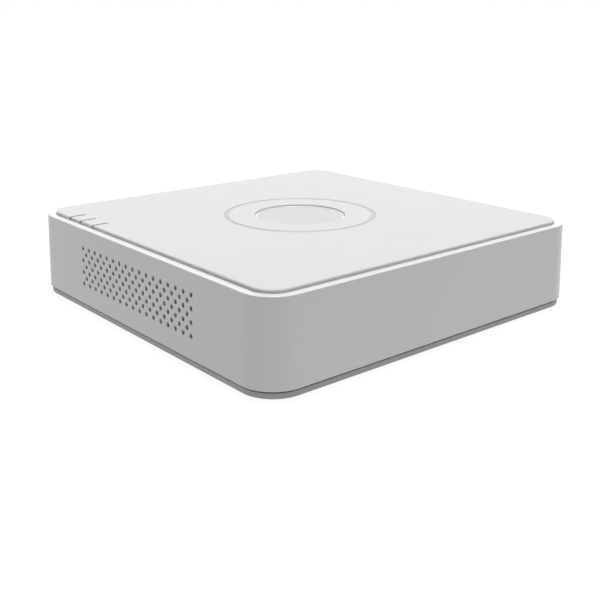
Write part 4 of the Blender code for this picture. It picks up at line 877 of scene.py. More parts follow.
def make_video_sockets():
    """Bayonet sockets: block, threaded neck, barrel with two lugs, insulator and contact."""
    neck_end = PLATE_FACE + 3.5
    for number in range(1, 5):
        name = f"video_socket_{number}"
        nut_name = f"video_nut_{number}"
        nut_low, nut_high, x, z, place = rear_node(nut_name)
        low, high = node_box(name)
        tip = high.y
        block = Draft().block((low.x, low.y, z - 7.25), (high.x, SOCKET_FACE, z + 7.25), 0.5)
        weigh_normals(piece(name + "_block", block, BLACK))
        profile = [(3.9, tip - 0.25), (4.15, tip), (4.55, tip), (4.8, tip - 0.25), (4.8, tip - 1.6),
                   (4.55, tip - 1.9), (4.55, tip - 2.5), (4.8, tip - 2.8), (4.8, neck_end + 0.8),
                   (4.55, neck_end + 0.5), (4.55, neck_end),
                   *thread_profile(5.15, neck_end, SOCKET_FACE + 0.2, 0.75, 0.3), (3.9, SOCKET_FACE + 0.2)]
        barrel = piece(name + "_barrel", Draft().lathe(profile, place, 64), NICKEL, name, angle=40.0)
        lugs = Draft()
        across = Matrix.Translation((x, tip - 4.5, z)) @ Matrix.Rotation(math.pi / 2, 4, "Y")
        for side in (-1, 1):
            lugs.lathe([(0.0, side * 4.3), (1.0, side * 4.3), (1.0, side * 5.75), (0.8, side * 5.95),
                        (0.0, side * 5.95)], across, 24)
        carve(barrel, lugs, "UNION")
        insulator = [(0.75, tip - 2.2), (1.0, tip - 2.0), (2.0, tip - 2.0), (2.3, tip - 2.3),
                     (2.3, tip - 6.8), (2.6, tip - 7.2), (3.88, tip - 7.2), (3.88, tip - 9.5),
                     (0.75, tip - 9.5)]
        piece(name + "_insulator", Draft().lathe(insulator, place, 48), IVORY)
        contact = [(0.35, tip - 2.55), (0.5, tip - 2.4), (0.6, tip - 2.4), (0.73, tip - 2.6),
                   (0.73, tip - 8.0), (0.35, tip - 8.0)]
        piece(name + "_contact", Draft().lathe(contact, place, 24), GOLD)
        spin = place @ Matrix.Rotation(math.radians(7.0 * number), 4, "Z")
        nut = Draft().hexagon(spin, 13.2, 5.2, nut_low.y - 0.28, nut_high.y, 0.45)
        weigh_normals(piece(nut_name + "_hex", nut, NICKEL, nut_name, angle=25.0), 25.0)


def make_audio_sockets():
    """Phono sockets: black block, coloured face ring, plated sleeve and centre contact."""
    face = PLATE_FACE
    for name, color in (("audio_input_socket", RED), ("audio_output_socket", IVORY)):
        low, high, *_, place = rear_node(name)
        tip = high.y
        block = Draft().block(low, (high.x, SOCKET_FACE, high.z), 0.4)
        weigh_normals(piece(name + "_block", block, BLACK, name))
        ring = [(3.3, face + 0.9), (4.3, face + 0.9), (4.5, face + 0.7), (4.5, SOCKET_FACE + 0.02),
                (3.3, SOCKET_FACE + 0.02)]
        piece(name + "_ring", Draft().lathe(ring, place, 56), color)
        sleeve = [(2.9, tip - 0.3), (3.1, tip), (3.9, tip), (4.1, tip - 0.3), (4.1, tip - 2.0),
                  (4.0, tip - 2.2), (4.0, face + 1.2), (4.1, face + 0.92), (2.9, face + 0.92)]
        piece(name + "_sleeve", Draft().lathe(sleeve, place, 56), NICKEL)
        liner = [(1.75, tip - 1.3), (1.95, tip - 1.1), (2.75, tip - 1.1), (2.88, tip - 1.3),
                 (2.88, face + 1.0), (1.75, face + 1.0)]
        piece(name + "_liner", Draft().lathe(liner, place, 40), color)
        contact = [(1.45, tip - 1.5), (1.73, tip - 1.5), (1.73, face + 1.1), (0.2, face + 1.1),
                   (0.2, face + 1.4), (1.45, face + 1.4)]
        piece(name + "_contact", Draft().lathe(contact, place, 32), GOLD)


def make_vga_socket():
    """Analogue video socket: pressed D shell round a blue insert with three rows of holes."""
    low, high, x, z, place = rear_node("vga_socket")
    posts = ("vga_post_left", "vga_post_right")
    block = piece("vga_block", Draft().block(low, (high.x, SOCKET_FACE, high.z), 0.4), BLUE, "vga_socket")
    holes = Draft()
    for name in posts:
        holes.rod(1.6, SOCKET_FACE + 1, SOCKET_FACE - 6, rear_node(name)[-1], 24)
    carve(block, holes)
    weigh_normals(block)
    shell = Draft().shell(d_outline(0.0, 1.5), d_outline(0.45, 1.2), place, SOCKET_FACE + 0.02, high.y,
                          SOCKET_FACE + 1.0)
    weigh_normals(piece("vga_shell", shell, NICKEL))
    tip = high.y - 0.5
    insert = piece("vga_insert", Draft().prism(d_outline(0.6, 1.1), place, SOCKET_FACE + 1.1, tip), BLUE)
    pins = Draft()
    for row in range(3):
        for column in range(5):
            shift = 1.15 if row == 1 else 0.0
            pins.lathe([(0.0, tip + 1), (0.62, tip + 1), (0.62, tip - 0.15), (0.45, tip - 0.4),
                        (0.45, tip - 4), (0.0, tip - 4)],
                       along_y(x + (column - 2) * 2.29 + shift - 0.4, z + (1 - row) * 1.98), 14)
    carve(insert, pins)
    shank_end = PLATE_FACE + 1.5
    for name in posts:
        low, high, x, z, place = rear_node(name)
        post = Draft().hexagon(place, 4.75, 1.25, PLATE_FACE + 0.02, high.y, 0.35)
        weigh_normals(piece(name + "_hex", post, NICKEL, name, angle=25.0), 25.0)
        profile = [(0.0, shank_end), (1.2, shank_end),
                   *thread_profile(1.4, shank_end - 0.2, low.y + 0.4, 0.6, 0.2), (0.0, low.y + 0.2)]
        piece(name + "_shank", Draft().lathe(profile, place, 24), NICKEL)


def add_contacts(draft, count, pitch, width, middle, z, start, end):
    """A row of flat spring contacts that lie along Y."""
    for number in range(count):
        x = middle + (number - (count - 1) / 2) * pitch
        draft.block((x - width / 2, start, z), (x + width / 2, end, z + 0.12), 0.04, 1)


def make_hdmi_socket():
    """Digital video socket: plated shell with chamfered lower corners round a tongue of contacts."""
    low, high, x, z, place = rear_node("hdmi_socket")
    half = (high.x - low.x) / 2
    rise = (high.z - low.z) / 2
    chamfer = 1.9
    wall = 0.45
    soft = chamfer + 0.15
    outer = [(half, -rise), (half, rise - chamfer), (half - chamfer, rise), (chamfer - half, rise),
             (-half, rise - chamfer), (-half, -rise)]
    inner = [(half - wall, wall - rise), (half - wall, rise - soft), (half - soft, rise - wall),
             (soft - half, rise - wall), (wall - half, rise - soft), (wall - half, wall - rise)]
    shell = piece("hdmi_shell", Draft().shell(outer, inner, place, low.y, high.y, high.y - 9.0),
                  NICKEL, "hdmi_socket")
    springs = Draft()
    for side in (-3.6, 3.6):
        springs.block((x + side - 1.0, high.y - 6.0, z + rise - 0.15),
                      (x + side + 1.0, high.y - 1.6, z + rise + 0.4))
    carve(shell, springs)
    weigh_normals(shell)
    tongue = Draft().block((x - 5.5, high.y - 8.95, z - 0.4), (x + 5.5, high.y - 1.3, z + 0.9), 0.25)
    weigh_normals(piece("hdmi_tongue", tongue, BLACK))
    contacts = Draft()
    add_contacts(contacts, 10, 1.0, 0.5, x, z + 0.86, high.y - 7.5, high.y - 2.0)
    add_contacts(contacts, 9, 1.0, 0.5, x, z - 0.48, high.y - 7.5, high.y - 2.0)
    piece("hdmi_contacts", contacts, GOLD)


def make_network_jack():
    """Network socket: plated shield, black insert with eight wires, and two lamps."""
    low, high, x, z, _ = rear_node("network_jack")
    back = high.y
    port_low = z - 2.9
    shield = piece("network_shield", Draft().block(low, (high.x, back - 0.35, high.z), 0.35),
                   NICKEL, "network_jack")
    carve(shield, Draft().block((x - 7.3, back - 16.0, low.z + 0.5), (x + 7.3, back + 1, high.z - 0.6), 0.3))
    weigh_normals(shield)
    body = Draft().block((x - 7.2, back - 15.9, low.z + 0.6), (x + 7.2, back - 0.1, high.z - 0.7), 0.25)
    insert = piece("network_insert", body, BLACK)
    for half, depth, bottom, top in ((5.9, 14.0, port_low, z + 4.0), (3.1, 10.0, z - 5.0, port_low + 0.3),
                                     (1.6, 8.0, z - 5.9, z - 4.8)):
        carve(insert, Draft().block((x - half, back - depth, bottom), (x + half, back + 1, top)))
    lamp_holes = Draft()
    for side in (-5.6, 5.6):
        lamp_holes.block((x + side - 1.35, back - 3, z + 4.25), (x + side + 1.35, back + 1, z + 5.85))
    carve(insert, lamp_holes)
    weigh_normals(insert)
    for side, name, color in ((-5.6, "link", GREEN), (5.6, "traffic", AMBER)):
        lamp = Draft().block((x + side - 1.3, back - 2.9, z + 4.3),
                             (x + side + 1.3, back - 0.05, z + 5.8), 0.2)
        piece("network_lamp_" + name, lamp, color)
    wires = Draft()
    for number in range(8):
        wires.tube([Vector((x + (number - 3.5) * 1.02, back - depth, z + rise)) for depth, rise in
                    ((2.2, 3.85), (3.0, 3.6), (9.5, 0.6), (13.0, 0.4))], 0.22, 8)
    piece("network_contacts", wires, GOLD)


def make_usb_ports():
    """Two stacked ports in one shield, with contact tongues and panel springs."""
    low, high, x, *_ = rear_node("usb_ports")
    back = high.y
    levels = (low.z + 4.2, low.z + 11.8)
    shield = piece("usb_shield", Draft().block(low, high, 0.4), NICKEL, "usb_ports")
    ports = Draft()
    bars = Draft()
    tongues = Draft()
    pads = Draft()
    for level in levels:
        ports.prism(rounded_outline(6.5, 2.85, 0.35), along_y(x, level), back - 13, back + 1)
        for side in (-3.2, 3.2):
            bars.block((x + side - 1.1, back - 6.5, level + 2.6),
                       (x + side + 1.1, back - 1.8, level + 3.1), 0.1)
        tongues.block((x - 5.5, back - 12.9, level + 0.1), (x + 5.5, back - 1.2, level + 1.9), 0.25)
        add_contacts(pads, 4, 2.3, 1.0, x, level - 0.02, back - 11.0, back - 2.2)
    carve(shield, ports)
    carve(shield, bars)
    weigh_normals(shield)
    weigh_normals(piece("usb_tongues", tongues, BLACK))
    piece("usb_contacts", pads, GOLD)


def make_power_jack():
    low, high, x, z, place = rear_node("power_jack")
    back = high.y
    jack = piece("power_jack_body", Draft().block(low, high, 0.5), BLACK, "power_jack")
    carve(jack, Draft().lathe([(0.0, back + 1), (3.7, back + 1), (3.7, back + 0.25), (3.15, back - 0.3),
                               (3.15, back - 10), (0.0, back - 10)], place, 48))
    weigh_normals(jack)
    pin = [(0.0, back - 1.0), (0.4, back - 1.05), (0.8, back - 1.35), (1.0, back - 1.8), (1.0, back - 9.98),
           (0.0, back - 9.98)]
    piece("power_jack_pin", Draft().lathe(pin, place, 32), NICKEL)
    spring = Draft().block((x - 0.8, back - 9.5, z - 3.12), (x + 0.8, back - 2.5, z - 2.7), 0.15)
    piece("power_jack_spring", spring, NICKEL)


def make_ground_screw():
    low, high, *_, place = rear_node("ground_screw")
    tip = high.y
    face = PLATE_FACE
    profile = [(0.0, tip), (1.2, tip - 0.05), (2.3, tip - 0.4), (3.1, tip - 1.1), (3.2, tip - 1.5),
               (3.2, face + 0.95), (3.45, face + 0.9), (3.5, face + 0.75), (3.5, face + 0.05),
               (1.7, face + 0.05), (1.55, face - 0.4),
               *thread_profile(1.75, face - 0.6, low.y + 0.6, 0.7, 0.25), (0.0, low.y + 0.2)]
    turned = Draft().lathe(profile, place, 48)
    screw = piece("ground_screw_turned", turned, NICKEL, "ground_screw", angle=40.0)
    cut_cross(screw, place, 1.9, 0.6, tip + 0.2, tip - 1.6)


# ---------------------------------------------------------------- main board

def offset_route(route, shift):
    """Points of a flat route moved sideways, with mitred bends."""
    points = [Vector(point) for point in route]
    steps = [(end - start).normalized() for start, end in zip(points, points[1:])]
    moved = []
    for point, before, after in zip(points, [steps[0], *steps], [*steps, steps[-1]]):
        ahead = (before + after).normalized()
        across = Vector((-ahead.y, ahead.x))
        moved.append(point + across * shift / across.dot(Vector((-after.y, after.x))))
    return moved


def add_bus(tracks, vias, route, count, pitch, width, top):
    """Parallel copper tracks that bend together, with a via at each end."""
    middle = [(x, y + CASE_Y) for x, y in route]
    radius = min(0.42, pitch * 0.55)
    bore = radius * 0.45
    via = [(bore, top + 0.05), (radius, top + 0.05), (radius, top - 0.02), (bore, top - 0.02)]
    for number in range(count):
        track = offset_route(middle, (number - (count - 1) / 2) * pitch)
        outline = offset_route(track, width / 2) + offset_route(track, -width / 2)[::-1]
        tracks.prism(outline, upright(0, 0), top - 0.02, top + 0.035)
        for end in (track[0], track[-1]):
            vias.lathe(via, upright(end.x, end.y), 12)


def add_chip_part(bodies, ends, x, y, along_x, size, base):
    """A small two-ended part: body and two plated ends, soldered flat on a board."""
    length, width, height = size
    reach = Vector((length, width, 0.0) if along_x else (width, length, 0.0)) / 2
    low = Vector((x, y, base)) - reach
    high = Vector((x, y, base + height)) + reach
    bodies.block(low, high, 0.08, 1)
    axis = 0 if along_x else 1
    share = (high[axis] - low[axis]) * 0.24
    for far in (False, True):
        end_low = low - Vector((0.04, 0.04, 0.0))
        end_high = high + Vector((0.04, 0.04, 0.03))
        if far:
            end_low[axis] = high[axis] - share
        else:
            end_high[axis] = low[axis] + share
        ends.block(end_low, end_high, 0.06, 1)


def add_gull_leads(leads, low, high, count, pitch, axes=(0, 1)):
    """Bent leads along the edges of a flat chip package on the main board."""
    middle = (low + high) / 2
    height = (BOARD_TOP + high.z) / 2
    bends = ((-0.2, height), (0.35, height), (0.6, BOARD_TOP + 0.1), (1.15, BOARD_TOP + 0.08))
    for axis in axes:
        edge = (high[axis] - low[axis]) / 2
        for sign in (-1, 1):
            for number in range(count):
                path = []
                for reach, z in bends:
                    point = Vector((0.0, 0.0, z))
                    point[axis] = middle[axis] + sign * (edge + reach)
                    point[1 - axis] = middle[1 - axis] + (number - (count - 1) / 2) * pitch
                    path.append(point)
                leads.tube(path, pitch * 0.24, 4, 0.45, math.pi / 4)


TRACK_ROUTES = (
    # route, count, pitch, width
    (((-44.5, 57), (-38, 57), (-31, 50), (-13, 50)), 12, 0.7, 0.28),
    (((24, 36), (35, 36)), 13, 0.8, 0.28),
    (((24, 53), (35, 53)), 13, 0.8, 0.28),
    (((38, 41), (38, 48)), 8, 0.8, 0.28),
    (((16.5, 63), (16.5, 82)), 8, 0.9, 0.34),
    (((24, 61.5), (32, 61.5), (37, 66.5), (37, 77)), 6, 0.6, 0.26),
    (((-54, 77), (-54, 67.5)), 4, 1.2, 0.5),
    (((-72, 77), (-72, 72), (-67.5, 67.5), (-67.5, 61)), 3, 1.1, 0.45),
    (((-36, 82), (-36, 73), (-43, 66), (-43, 61)), 4, 0.9, 0.35),
    (((-10, 80), (-10, 63)), 7, 1.5, 0.34),
    (((54.5, 79), (54.5, 71.5), (47, 64), (47, 35), (42.5, 30.5), (24, 30.5)), 4, 0.8, 0.32),
    (((69.5, 80), (69.5, 65)), 1, 3.0, 3.0),
    (((58, 64), (58, 57), (63, 52), (63, 49)), 1, 3.0, 2.6),
    (((67, 34), (61, 40), (52, 40)), 4, 0.7, 0.28),
    (((-46, 30), (-39, 30), (-35.5, 33.5)), 2, 0.9, 0.4),
    (((-72.5, 36), (-70, 38.5), (-70, 46), (-66, 50)), 4, 0.7, 0.28),
    (((-34, 38), (-34, 43), (-27, 50)), 2, 0.8, 0.32),
    (((-25, 24), (-25, 38), (-19, 44), (-13, 44)), 5, 0.8, 0.28),
)

PART_ROWS = (
    # x, y, step, count, whether the row runs along Y, with its parts across it
    (-42.0, 62.5, 2.2, 6, False), (-69.0, 44.0, 1.9, 5, True), (-43.5, 46.5, 2.3, 5, False),
    (-63.5, 70.5, 2.2, 8, False), (31.0, 43.8, 2.1, 7, False), (31.0, 45.6, 2.1, 7, False),
    (45.0, 33.5, 2.0, 6, True), (28.5, 27.0, 2.3, 7, False), (-21.0, 27.5, 2.1, 7, True),
    (-21.0, 53.0, 2.1, 5, True), (-12.0, 68.5, 2.4, 7, False), (8.5, 70.5, 2.2, 8, False),
    (44.5, 70.0, 2.1, 4, True), (51.0, 44.0, 2.0, 4, True), (71.5, 43.0, 2.1, 5, True),
    (-28.5, 68.0, 2.2, 5, True), (-46.0, 72.5, 2.2, 4, False), (60.5, 69.0, 2.3, 3, False),
)


def add_pan_screw(draft, x, y, seat, head, height, shank, length):
    """A pan-head screw with a cross moulded into its crown, seated at y behind the case's middle."""
    cross = (0.45, 0.8)
    profile = [(cross[0], height * 0.62), (cross[1], height * 0.97), (head * 0.55, height * 0.93),
               (head * 0.85, height * 0.7), (head, height * 0.35), (head, 0.0), (shank, 0.0),
               (shank, -length)]
    rings = []
    for radius, z in profile:
        arms = 0.9 if radius in cross else 0.0
        outline = polar([radius * (1 + arms * math.cos(math.pi * step / 8) ** 8) for step in range(32)])
        rings.append(flat_ring(outline, upright(x, CASE_Y + y), seat + z))
    draft.loft(rings)


def make_main_board():
    low, high = node_box("main_board")
    board = piece("main_board_laminate", Draft().plate(low, high, 2.0, low.z, high.z), BOARD, "main_board")
    holes = Draft()
    for x, y in BOARD_POSTS:
        holes.rod(1.6, high.z + 1, low.z - 1, upright(x, CASE_Y + y), 28)
    carve(board, holes)
    second_material(board, CERAMIC, lambda face: abs(face.normal.z) < 0.5)
    tracks = Draft()
    vias = Draft()
    screws = Draft()
    for route, count, pitch, width in TRACK_ROUTES:
        add_bus(tracks, vias, route, count, pitch, width, high.z)
    for x, y in BOARD_POSTS:
        vias.lathe([(1.65, high.z + 0.06), (3.4, high.z + 0.06), (3.4, high.z - 0.02), (1.65, high.z - 0.02)],
                   upright(x, CASE_Y + y), 36)
        add_pan_screw(screws, x, y, high.z + 0.07, 2.7, 1.7, 1.2, high.z - low.z + 1)
    piece("main_board_tracks", tracks, TRACE)
    piece("main_board_vias", vias, TIN)
    piece("main_board_screws", screws, NICKEL, angle=40.0)
    bodies = (Draft(), Draft())
    ends = Draft()
    for row, (x, y, step, count, runs_back) in enumerate(PART_ROWS):
        for number in range(count):
            size = (1.5, 0.8, 0.5) if (row + number) % 5 else (1.9, 1.15, 0.8)
            shift = Vector((0, number * step) if runs_back else (number * step, 0))
            add_chip_part(bodies[(row + number) % 2], ends, x + shift.x, CASE_Y + y + shift.y,
                          runs_back, size, high.z + 0.02)
    piece("board_capacitors", bodies[0], CERAMIC)
    piece("board_resistors", bodies[1], CHIP)
    piece("board_part_ends", ends, TIN)


def make_chips():
    """Memory, processor and video decoder packages, each with a dimple at its first pin."""
    for name in ("memory_chip_1", "memory_chip_2", "processor", "video_decoder"):
        low, high = node_box(name)
        chip = piece(name + "_package", Draft().block(low, high, 0.18), CHIP, name)
        carve(chip, Draft().lathe([(0.0, high.z + 0.5), (0.6, high.z + 0.5), (0.55, high.z - 0.08),
                                   (0.0, high.z - 0.12)], upright(low.x + 1.6, low.y + 1.6), 24))
        weigh_normals(chip)
    leads = Draft()
    add_gull_leads(leads, *node_box("video_decoder"), 32, 0.55)
    piece("video_decoder_leads", leads, TIN)
    balls = Draft()
    for name, columns, rows in (("memory_chip_1", 7, 12), ("memory_chip_2", 7, 12), ("processor", 22, 22)):
        low, high = node_box(name)
        ball = [(0.0, low.z), (0.2, low.z), (0.27, (BOARD_TOP + low.z) / 2), (0.2, BOARD_TOP),
                (0.0, BOARD_TOP)]
        for column in range(columns):
            for row in range(rows):
                if column in (0, columns - 1) or row in (0, rows - 1):
                    x = low.x + 0.8 + (high.x - low.x - 1.6) * column / (columns - 1)
                    y = low.y + 0.8 + (high.y - low.y - 1.6) * row / (rows - 1)
                    balls.lathe(ball, upright(x, y), 8)
    piece("solder_balls", balls, TIN)


def make_regulators():
    """Four voltage regulators and the clock crystal."""
    regulators = Draft()
    leads = Draft()
    for x, y in ((50.5, 56.0), (73.0, 54.0), (-38.0, 70.0), (-74.0, 54.0)):
        low = Vector((x - 2.0, CASE_Y + y - 2.5, BOARD_TOP + 0.1))
        high = Vector((x + 2.0, CASE_Y + y + 2.5, BOARD_TOP + 1.7))
        regulators.block(low, high, 0.15, 1)
        add_gull_leads(leads, low, high, 4, 1.27, (0,))
    piece("board_regulators", regulators, CHIP)
    piece("board_regulator_leads", leads, TIN)
    place = Matrix.Translation((-31.0, CASE_Y + 60.0, BOARD_TOP + 0.3))
    crystal = Draft().prism(rounded_outline(5.5, 2.3, 2.25, 8), place, 0.0, 0.4)
    crystal.prism(rounded_outline(5.0, 1.85, 1.8, 8), place, 0.4, 3.4)
    weigh_normals(piece("clock_crystal", crystal, NICKEL))


def make_heat_sink():
    """Extruded comb with tapered fins along Y."""
    low, high = node_box("heat_sink")
    fins = 9
    base = low.z + 2.5
    foot = 0.8
    crown = 0.55
    pitch = (high.x - low.x - 2 * foot) / (fins - 1)
    outline = [(low.x, -low.z)]
    for fin in range(fins):
        middle = low.x + foot + fin * pitch
        outline += [(middle - foot, -base), (middle - crown, 0.3 - high.z), (middle - crown + 0.25, -high.z),
                    (middle + crown - 0.25, -high.z), (middle + crown, 0.3 - high.z), (middle + foot, -base)]
    outline.append((high.x, -low.z))
    comb = Draft().prism(outline, along_y(0.0, 0.0), low.y, high.y)
    weigh_normals(piece("heat_sink_comb", comb, FINNED, "heat_sink"))


def make_coin_cell():
    """Coin cell in a round holder with two finger windows, under a spring clip."""
    low, high, outer, place = turned_node("cell_holder")
    cell_low, cell_high, cell, _ = turned_node("coin_cell")
    middle = centre("cell_holder")
    soft = 0.35
    inner = cell + 0.3
    ring = [(inner, high.z - soft), (inner + soft, high.z), (outer - soft, high.z), (outer, high.z - soft),
            (outer, low.z), (0.5, low.z), (0.5, low.z + 0.9), (inner, low.z + 0.9)]
    holder = piece("cell_holder_ring", Draft().lathe(ring, place, 72), BLACK, "cell_holder")
    windows = Draft()
    for side in (-11.0, 11.0):
        windows.block((middle.x - 4.0, middle.y + side - 2.5, low.z + 1.8),
                      (middle.x + 4.0, middle.y + side + 2.5, high.z + 1))
    carve(holder, windows)
    top = cell_high.z
    can = [(0.0, top), (cell - 0.55, top), (cell - 0.1, top - 0.15), (cell, top - 0.5),
           (cell, cell_low.z + 0.7), (cell - 0.35, cell_low.z + 0.55), (cell - 1.2, cell_low.z + 0.5),
           (cell - 1.3, cell_low.z), (0.0, cell_low.z)]
    piece("coin_cell_can", Draft().lathe(can, place, 72), NICKEL, "coin_cell", angle=25.0)
    clip = [Vector((middle.x + x, middle.y, z)) for x, z in
            ((outer + 0.45, low.z + 0.2), (outer + 0.45, high.z + 0.2), (outer - 1.5, high.z + 1.0),
             (5.0, top + 0.45), (1.5, top + 0.22), (0.0, top + 0.6))]
    piece("cell_clip", Draft().tube(smooth_path(clip, 5), 1.6, 8, 0.12), NICKEL)


def make_buzzer():
    low, high, radius, place = turned_node("buzzer")
    profile = [(1.1, high.z - 2.4), (1.1, high.z - 0.3), (1.4, high.z), (radius - 0.5, high.z),
               (radius, high.z - 0.5), (radius, low.z + 1.4), (radius - 0.25, low.z + 1.2),
               (radius - 0.25, low.z + 0.9), (radius, low.z + 0.7), (radius, low.z), (0.3, low.z),
               (0.3, high.z - 2.4)]
    piece("buzzer_can", Draft().lathe(profile, place, 56), BLACK, "buzzer")


def make_capacitors():
    """Two cans with scored tops, in dark sleeves with a pale stripe."""
    for name in ("capacitor_1", "capacitor_2"):
        low, high, radius, place = turned_node(name)
        outside = radius - 0.05
        profile = [(radius - 0.9, high.z), (radius - 0.35, high.z), (outside, high.z - 0.35),
                   (outside, low.z + 2.4), (radius - 0.45, low.z + 2.0), (radius - 0.45, low.z + 1.7),
                   (outside, low.z + 1.3), (outside, low.z + 0.2), (radius - 0.3, low.z),
                   (radius - 0.9, low.z)]
        sleeve = piece(name + "_sleeve", Draft().lathe(profile, place, 48), SLEEVE, name, angle=40.0)
        stripe = (centre(name).x + 2.0) * MM
        second_material(sleeve, PAPER, lambda face, x=stripe: face.normal.x > 0.93 and face.center.x > x)
        can = piece(name + "_can", Draft().rod(radius - 0.95, high.z - 0.2, low.z + 0.2, place, 48), FINNED)
        cut_cross(can, place, radius - 1.4, 0.25, high.z, high.z - 0.45)


def make_inductor():
    low, high = node_box("power_inductor")
    core = Draft().plate(low, high, 2.0, low.z + 0.4, high.z - 0.3).plate(low, high, 1.7, low.z, high.z, 0.4)
    weigh_normals(piece("power_inductor_core", core, FERRITE, "power_inductor"))


def make_sata_socket():
    """The disk's data socket: a slot round a tongue with seven contacts."""
    low, high = node_box("sata_socket")
    x, y = ((low + high) / 2).xy
    socket = piece("sata_socket_body", Draft().block(low, high, 0.3), BLACK, "sata_socket")
    carve(socket, Draft().block((x - 1.4, low.y + 2.5, low.z + 2.0), (x + 1.4, high.y - 2.5, high.z + 1)))
    weigh_normals(socket)
    tongue = Draft().block((x - 0.5, low.y + 3.4, low.z + 1.9), (x + 0.5, high.y - 3.4, high.z - 0.6), 0.1)
    piece("sata_socket_tongue", tongue, BLACK)
    contacts = Draft()
    for number in range(-3, 4):
        middle = y + number * 1.27
        contacts.block((x - 0.62, middle - 0.3, low.z + 2.2), (x - 0.48, middle + 0.3, high.z - 0.9), 0.03, 1)
    piece("sata_socket_contacts", contacts, GOLD)


# ---------------------------------------------------------------- fan

def make_fan_housing():
    """Square flanges joined by a round duct, with swept struts that carry the motor."""
    low, high, half, place = turned_node("fan_frame")
    bore = 18.8
    flange = 1.8
    flanges = Draft().plate(low, high, 2.6, low.z, low.z + flange)
    flanges.plate(low, high, 2.6, high.z - flange, high.z)
    housing = piece("fan_housing", flanges, BLACK, "fan_frame")
    carve(housing, Draft().rod(half - 0.15, high.z - 0.6, low.z + 0.6, place, 96), "UNION")
    opening = [(0.0, high.z + 1), (bore + 0.6, high.z + 1), (bore + 0.6, high.z), (bore, high.z - 0.6),
               (bore, low.z + 0.6), (bore + 0.6, low.z), (bore + 0.6, low.z - 1), (0.0, low.z - 1)]
    carve(housing, Draft().lathe(opening, place, 96))
    screw_holes = Draft()
    for x in (-16.0, 16.0):
        for y in (-16.0, 16.0):
            screw_holes.rod(1.7, high.z + 1, low.z - 1, place @ upright(x, y), 28)
    carve(housing, screw_holes)
    weigh_normals(housing)
    mount = Draft()
    for number in range(4):
        start = math.pi / 2 * number + 0.2
        strut = [place @ Vector((reach * math.cos(turn), reach * math.sin(turn), low.z + 0.8))
                 for reach, turn in ((7.6, start), (13.5, start + 0.22), (18.95, start + 0.55))]
        mount.tube(smooth_path(strut, 4), 1.0, 8, 0.7)
    mount.lathe([(0.0, low.z + 1.6), (7.8, low.z + 1.6), (8.0, low.z + 1.4), (8.0, low.z + 0.3),
                 (7.7, low.z), (0.0, low.z)], place, 56)
    piece("fan_motor_mount", mount, BLACK)


def blade_section(pin, hub, tip, level, turn, share):
    """Cambered outline of a fan blade at a share of the way from hub to tip."""
    radius = hub - 0.3 + (tip - hub + 0.3) * share
    pitch = math.radians(40 - 14 * share)
    chord = 7.2 + 2.6 * share
    thick = 0.9 - 0.4 * share
    sweep = turn + 0.18 * share * share
    upper = []
    lower = []
    for step in range(9):
        along = step / 8 - 0.5
        camber = 0.55 * (1 - 4 * along * along)
        edge = Vector((0, 0, thick / 2 * math.sqrt(max(0.02, 1 - (2 * along) ** 4))))
        angle = sweep + along * chord * math.cos(pitch) / radius
        rise = level - along * chord * math.sin(pitch) + camber * math.cos(pitch)
        middle = Vector((pin.x + radius * math.cos(angle), pin.y + radius * math.sin(angle), rise))
        upper.append(middle + edge)
        lower.append(middle - edge)
    return upper + lower[::-1]


def make_fan_impeller():
    """Hub and seven twisted, cambered blades."""
    low, high = node_box("fan_rotor")
    pin = centre("fan_frame")
    hub = 8.0
    tip = 18.0
    level = (low.z + high.z) / 2
    profile = [(0.0, high.z - 0.25), (5.2, high.z - 0.25), (5.4, high.z), (hub - 0.8, high.z),
               (hub, high.z - 0.8), (hub, low.z), (hub - 0.9, low.z), (hub - 0.9, high.z - 1.2),
               (0.0, high.z - 1.2)]
    impeller = Draft().lathe(profile, upright(pin.x, pin.y), 72)
    for number in range(7):
        turn = 2 * math.pi * number / 7
        impeller.loft([blade_section(pin, hub, tip, level, turn, station / 6) for station in range(7)])
    piece("fan_impeller", impeller, BLACK, "fan_rotor", "fan_rotor", angle=45.0)


# ---------------------------------------------------------------- hard disk

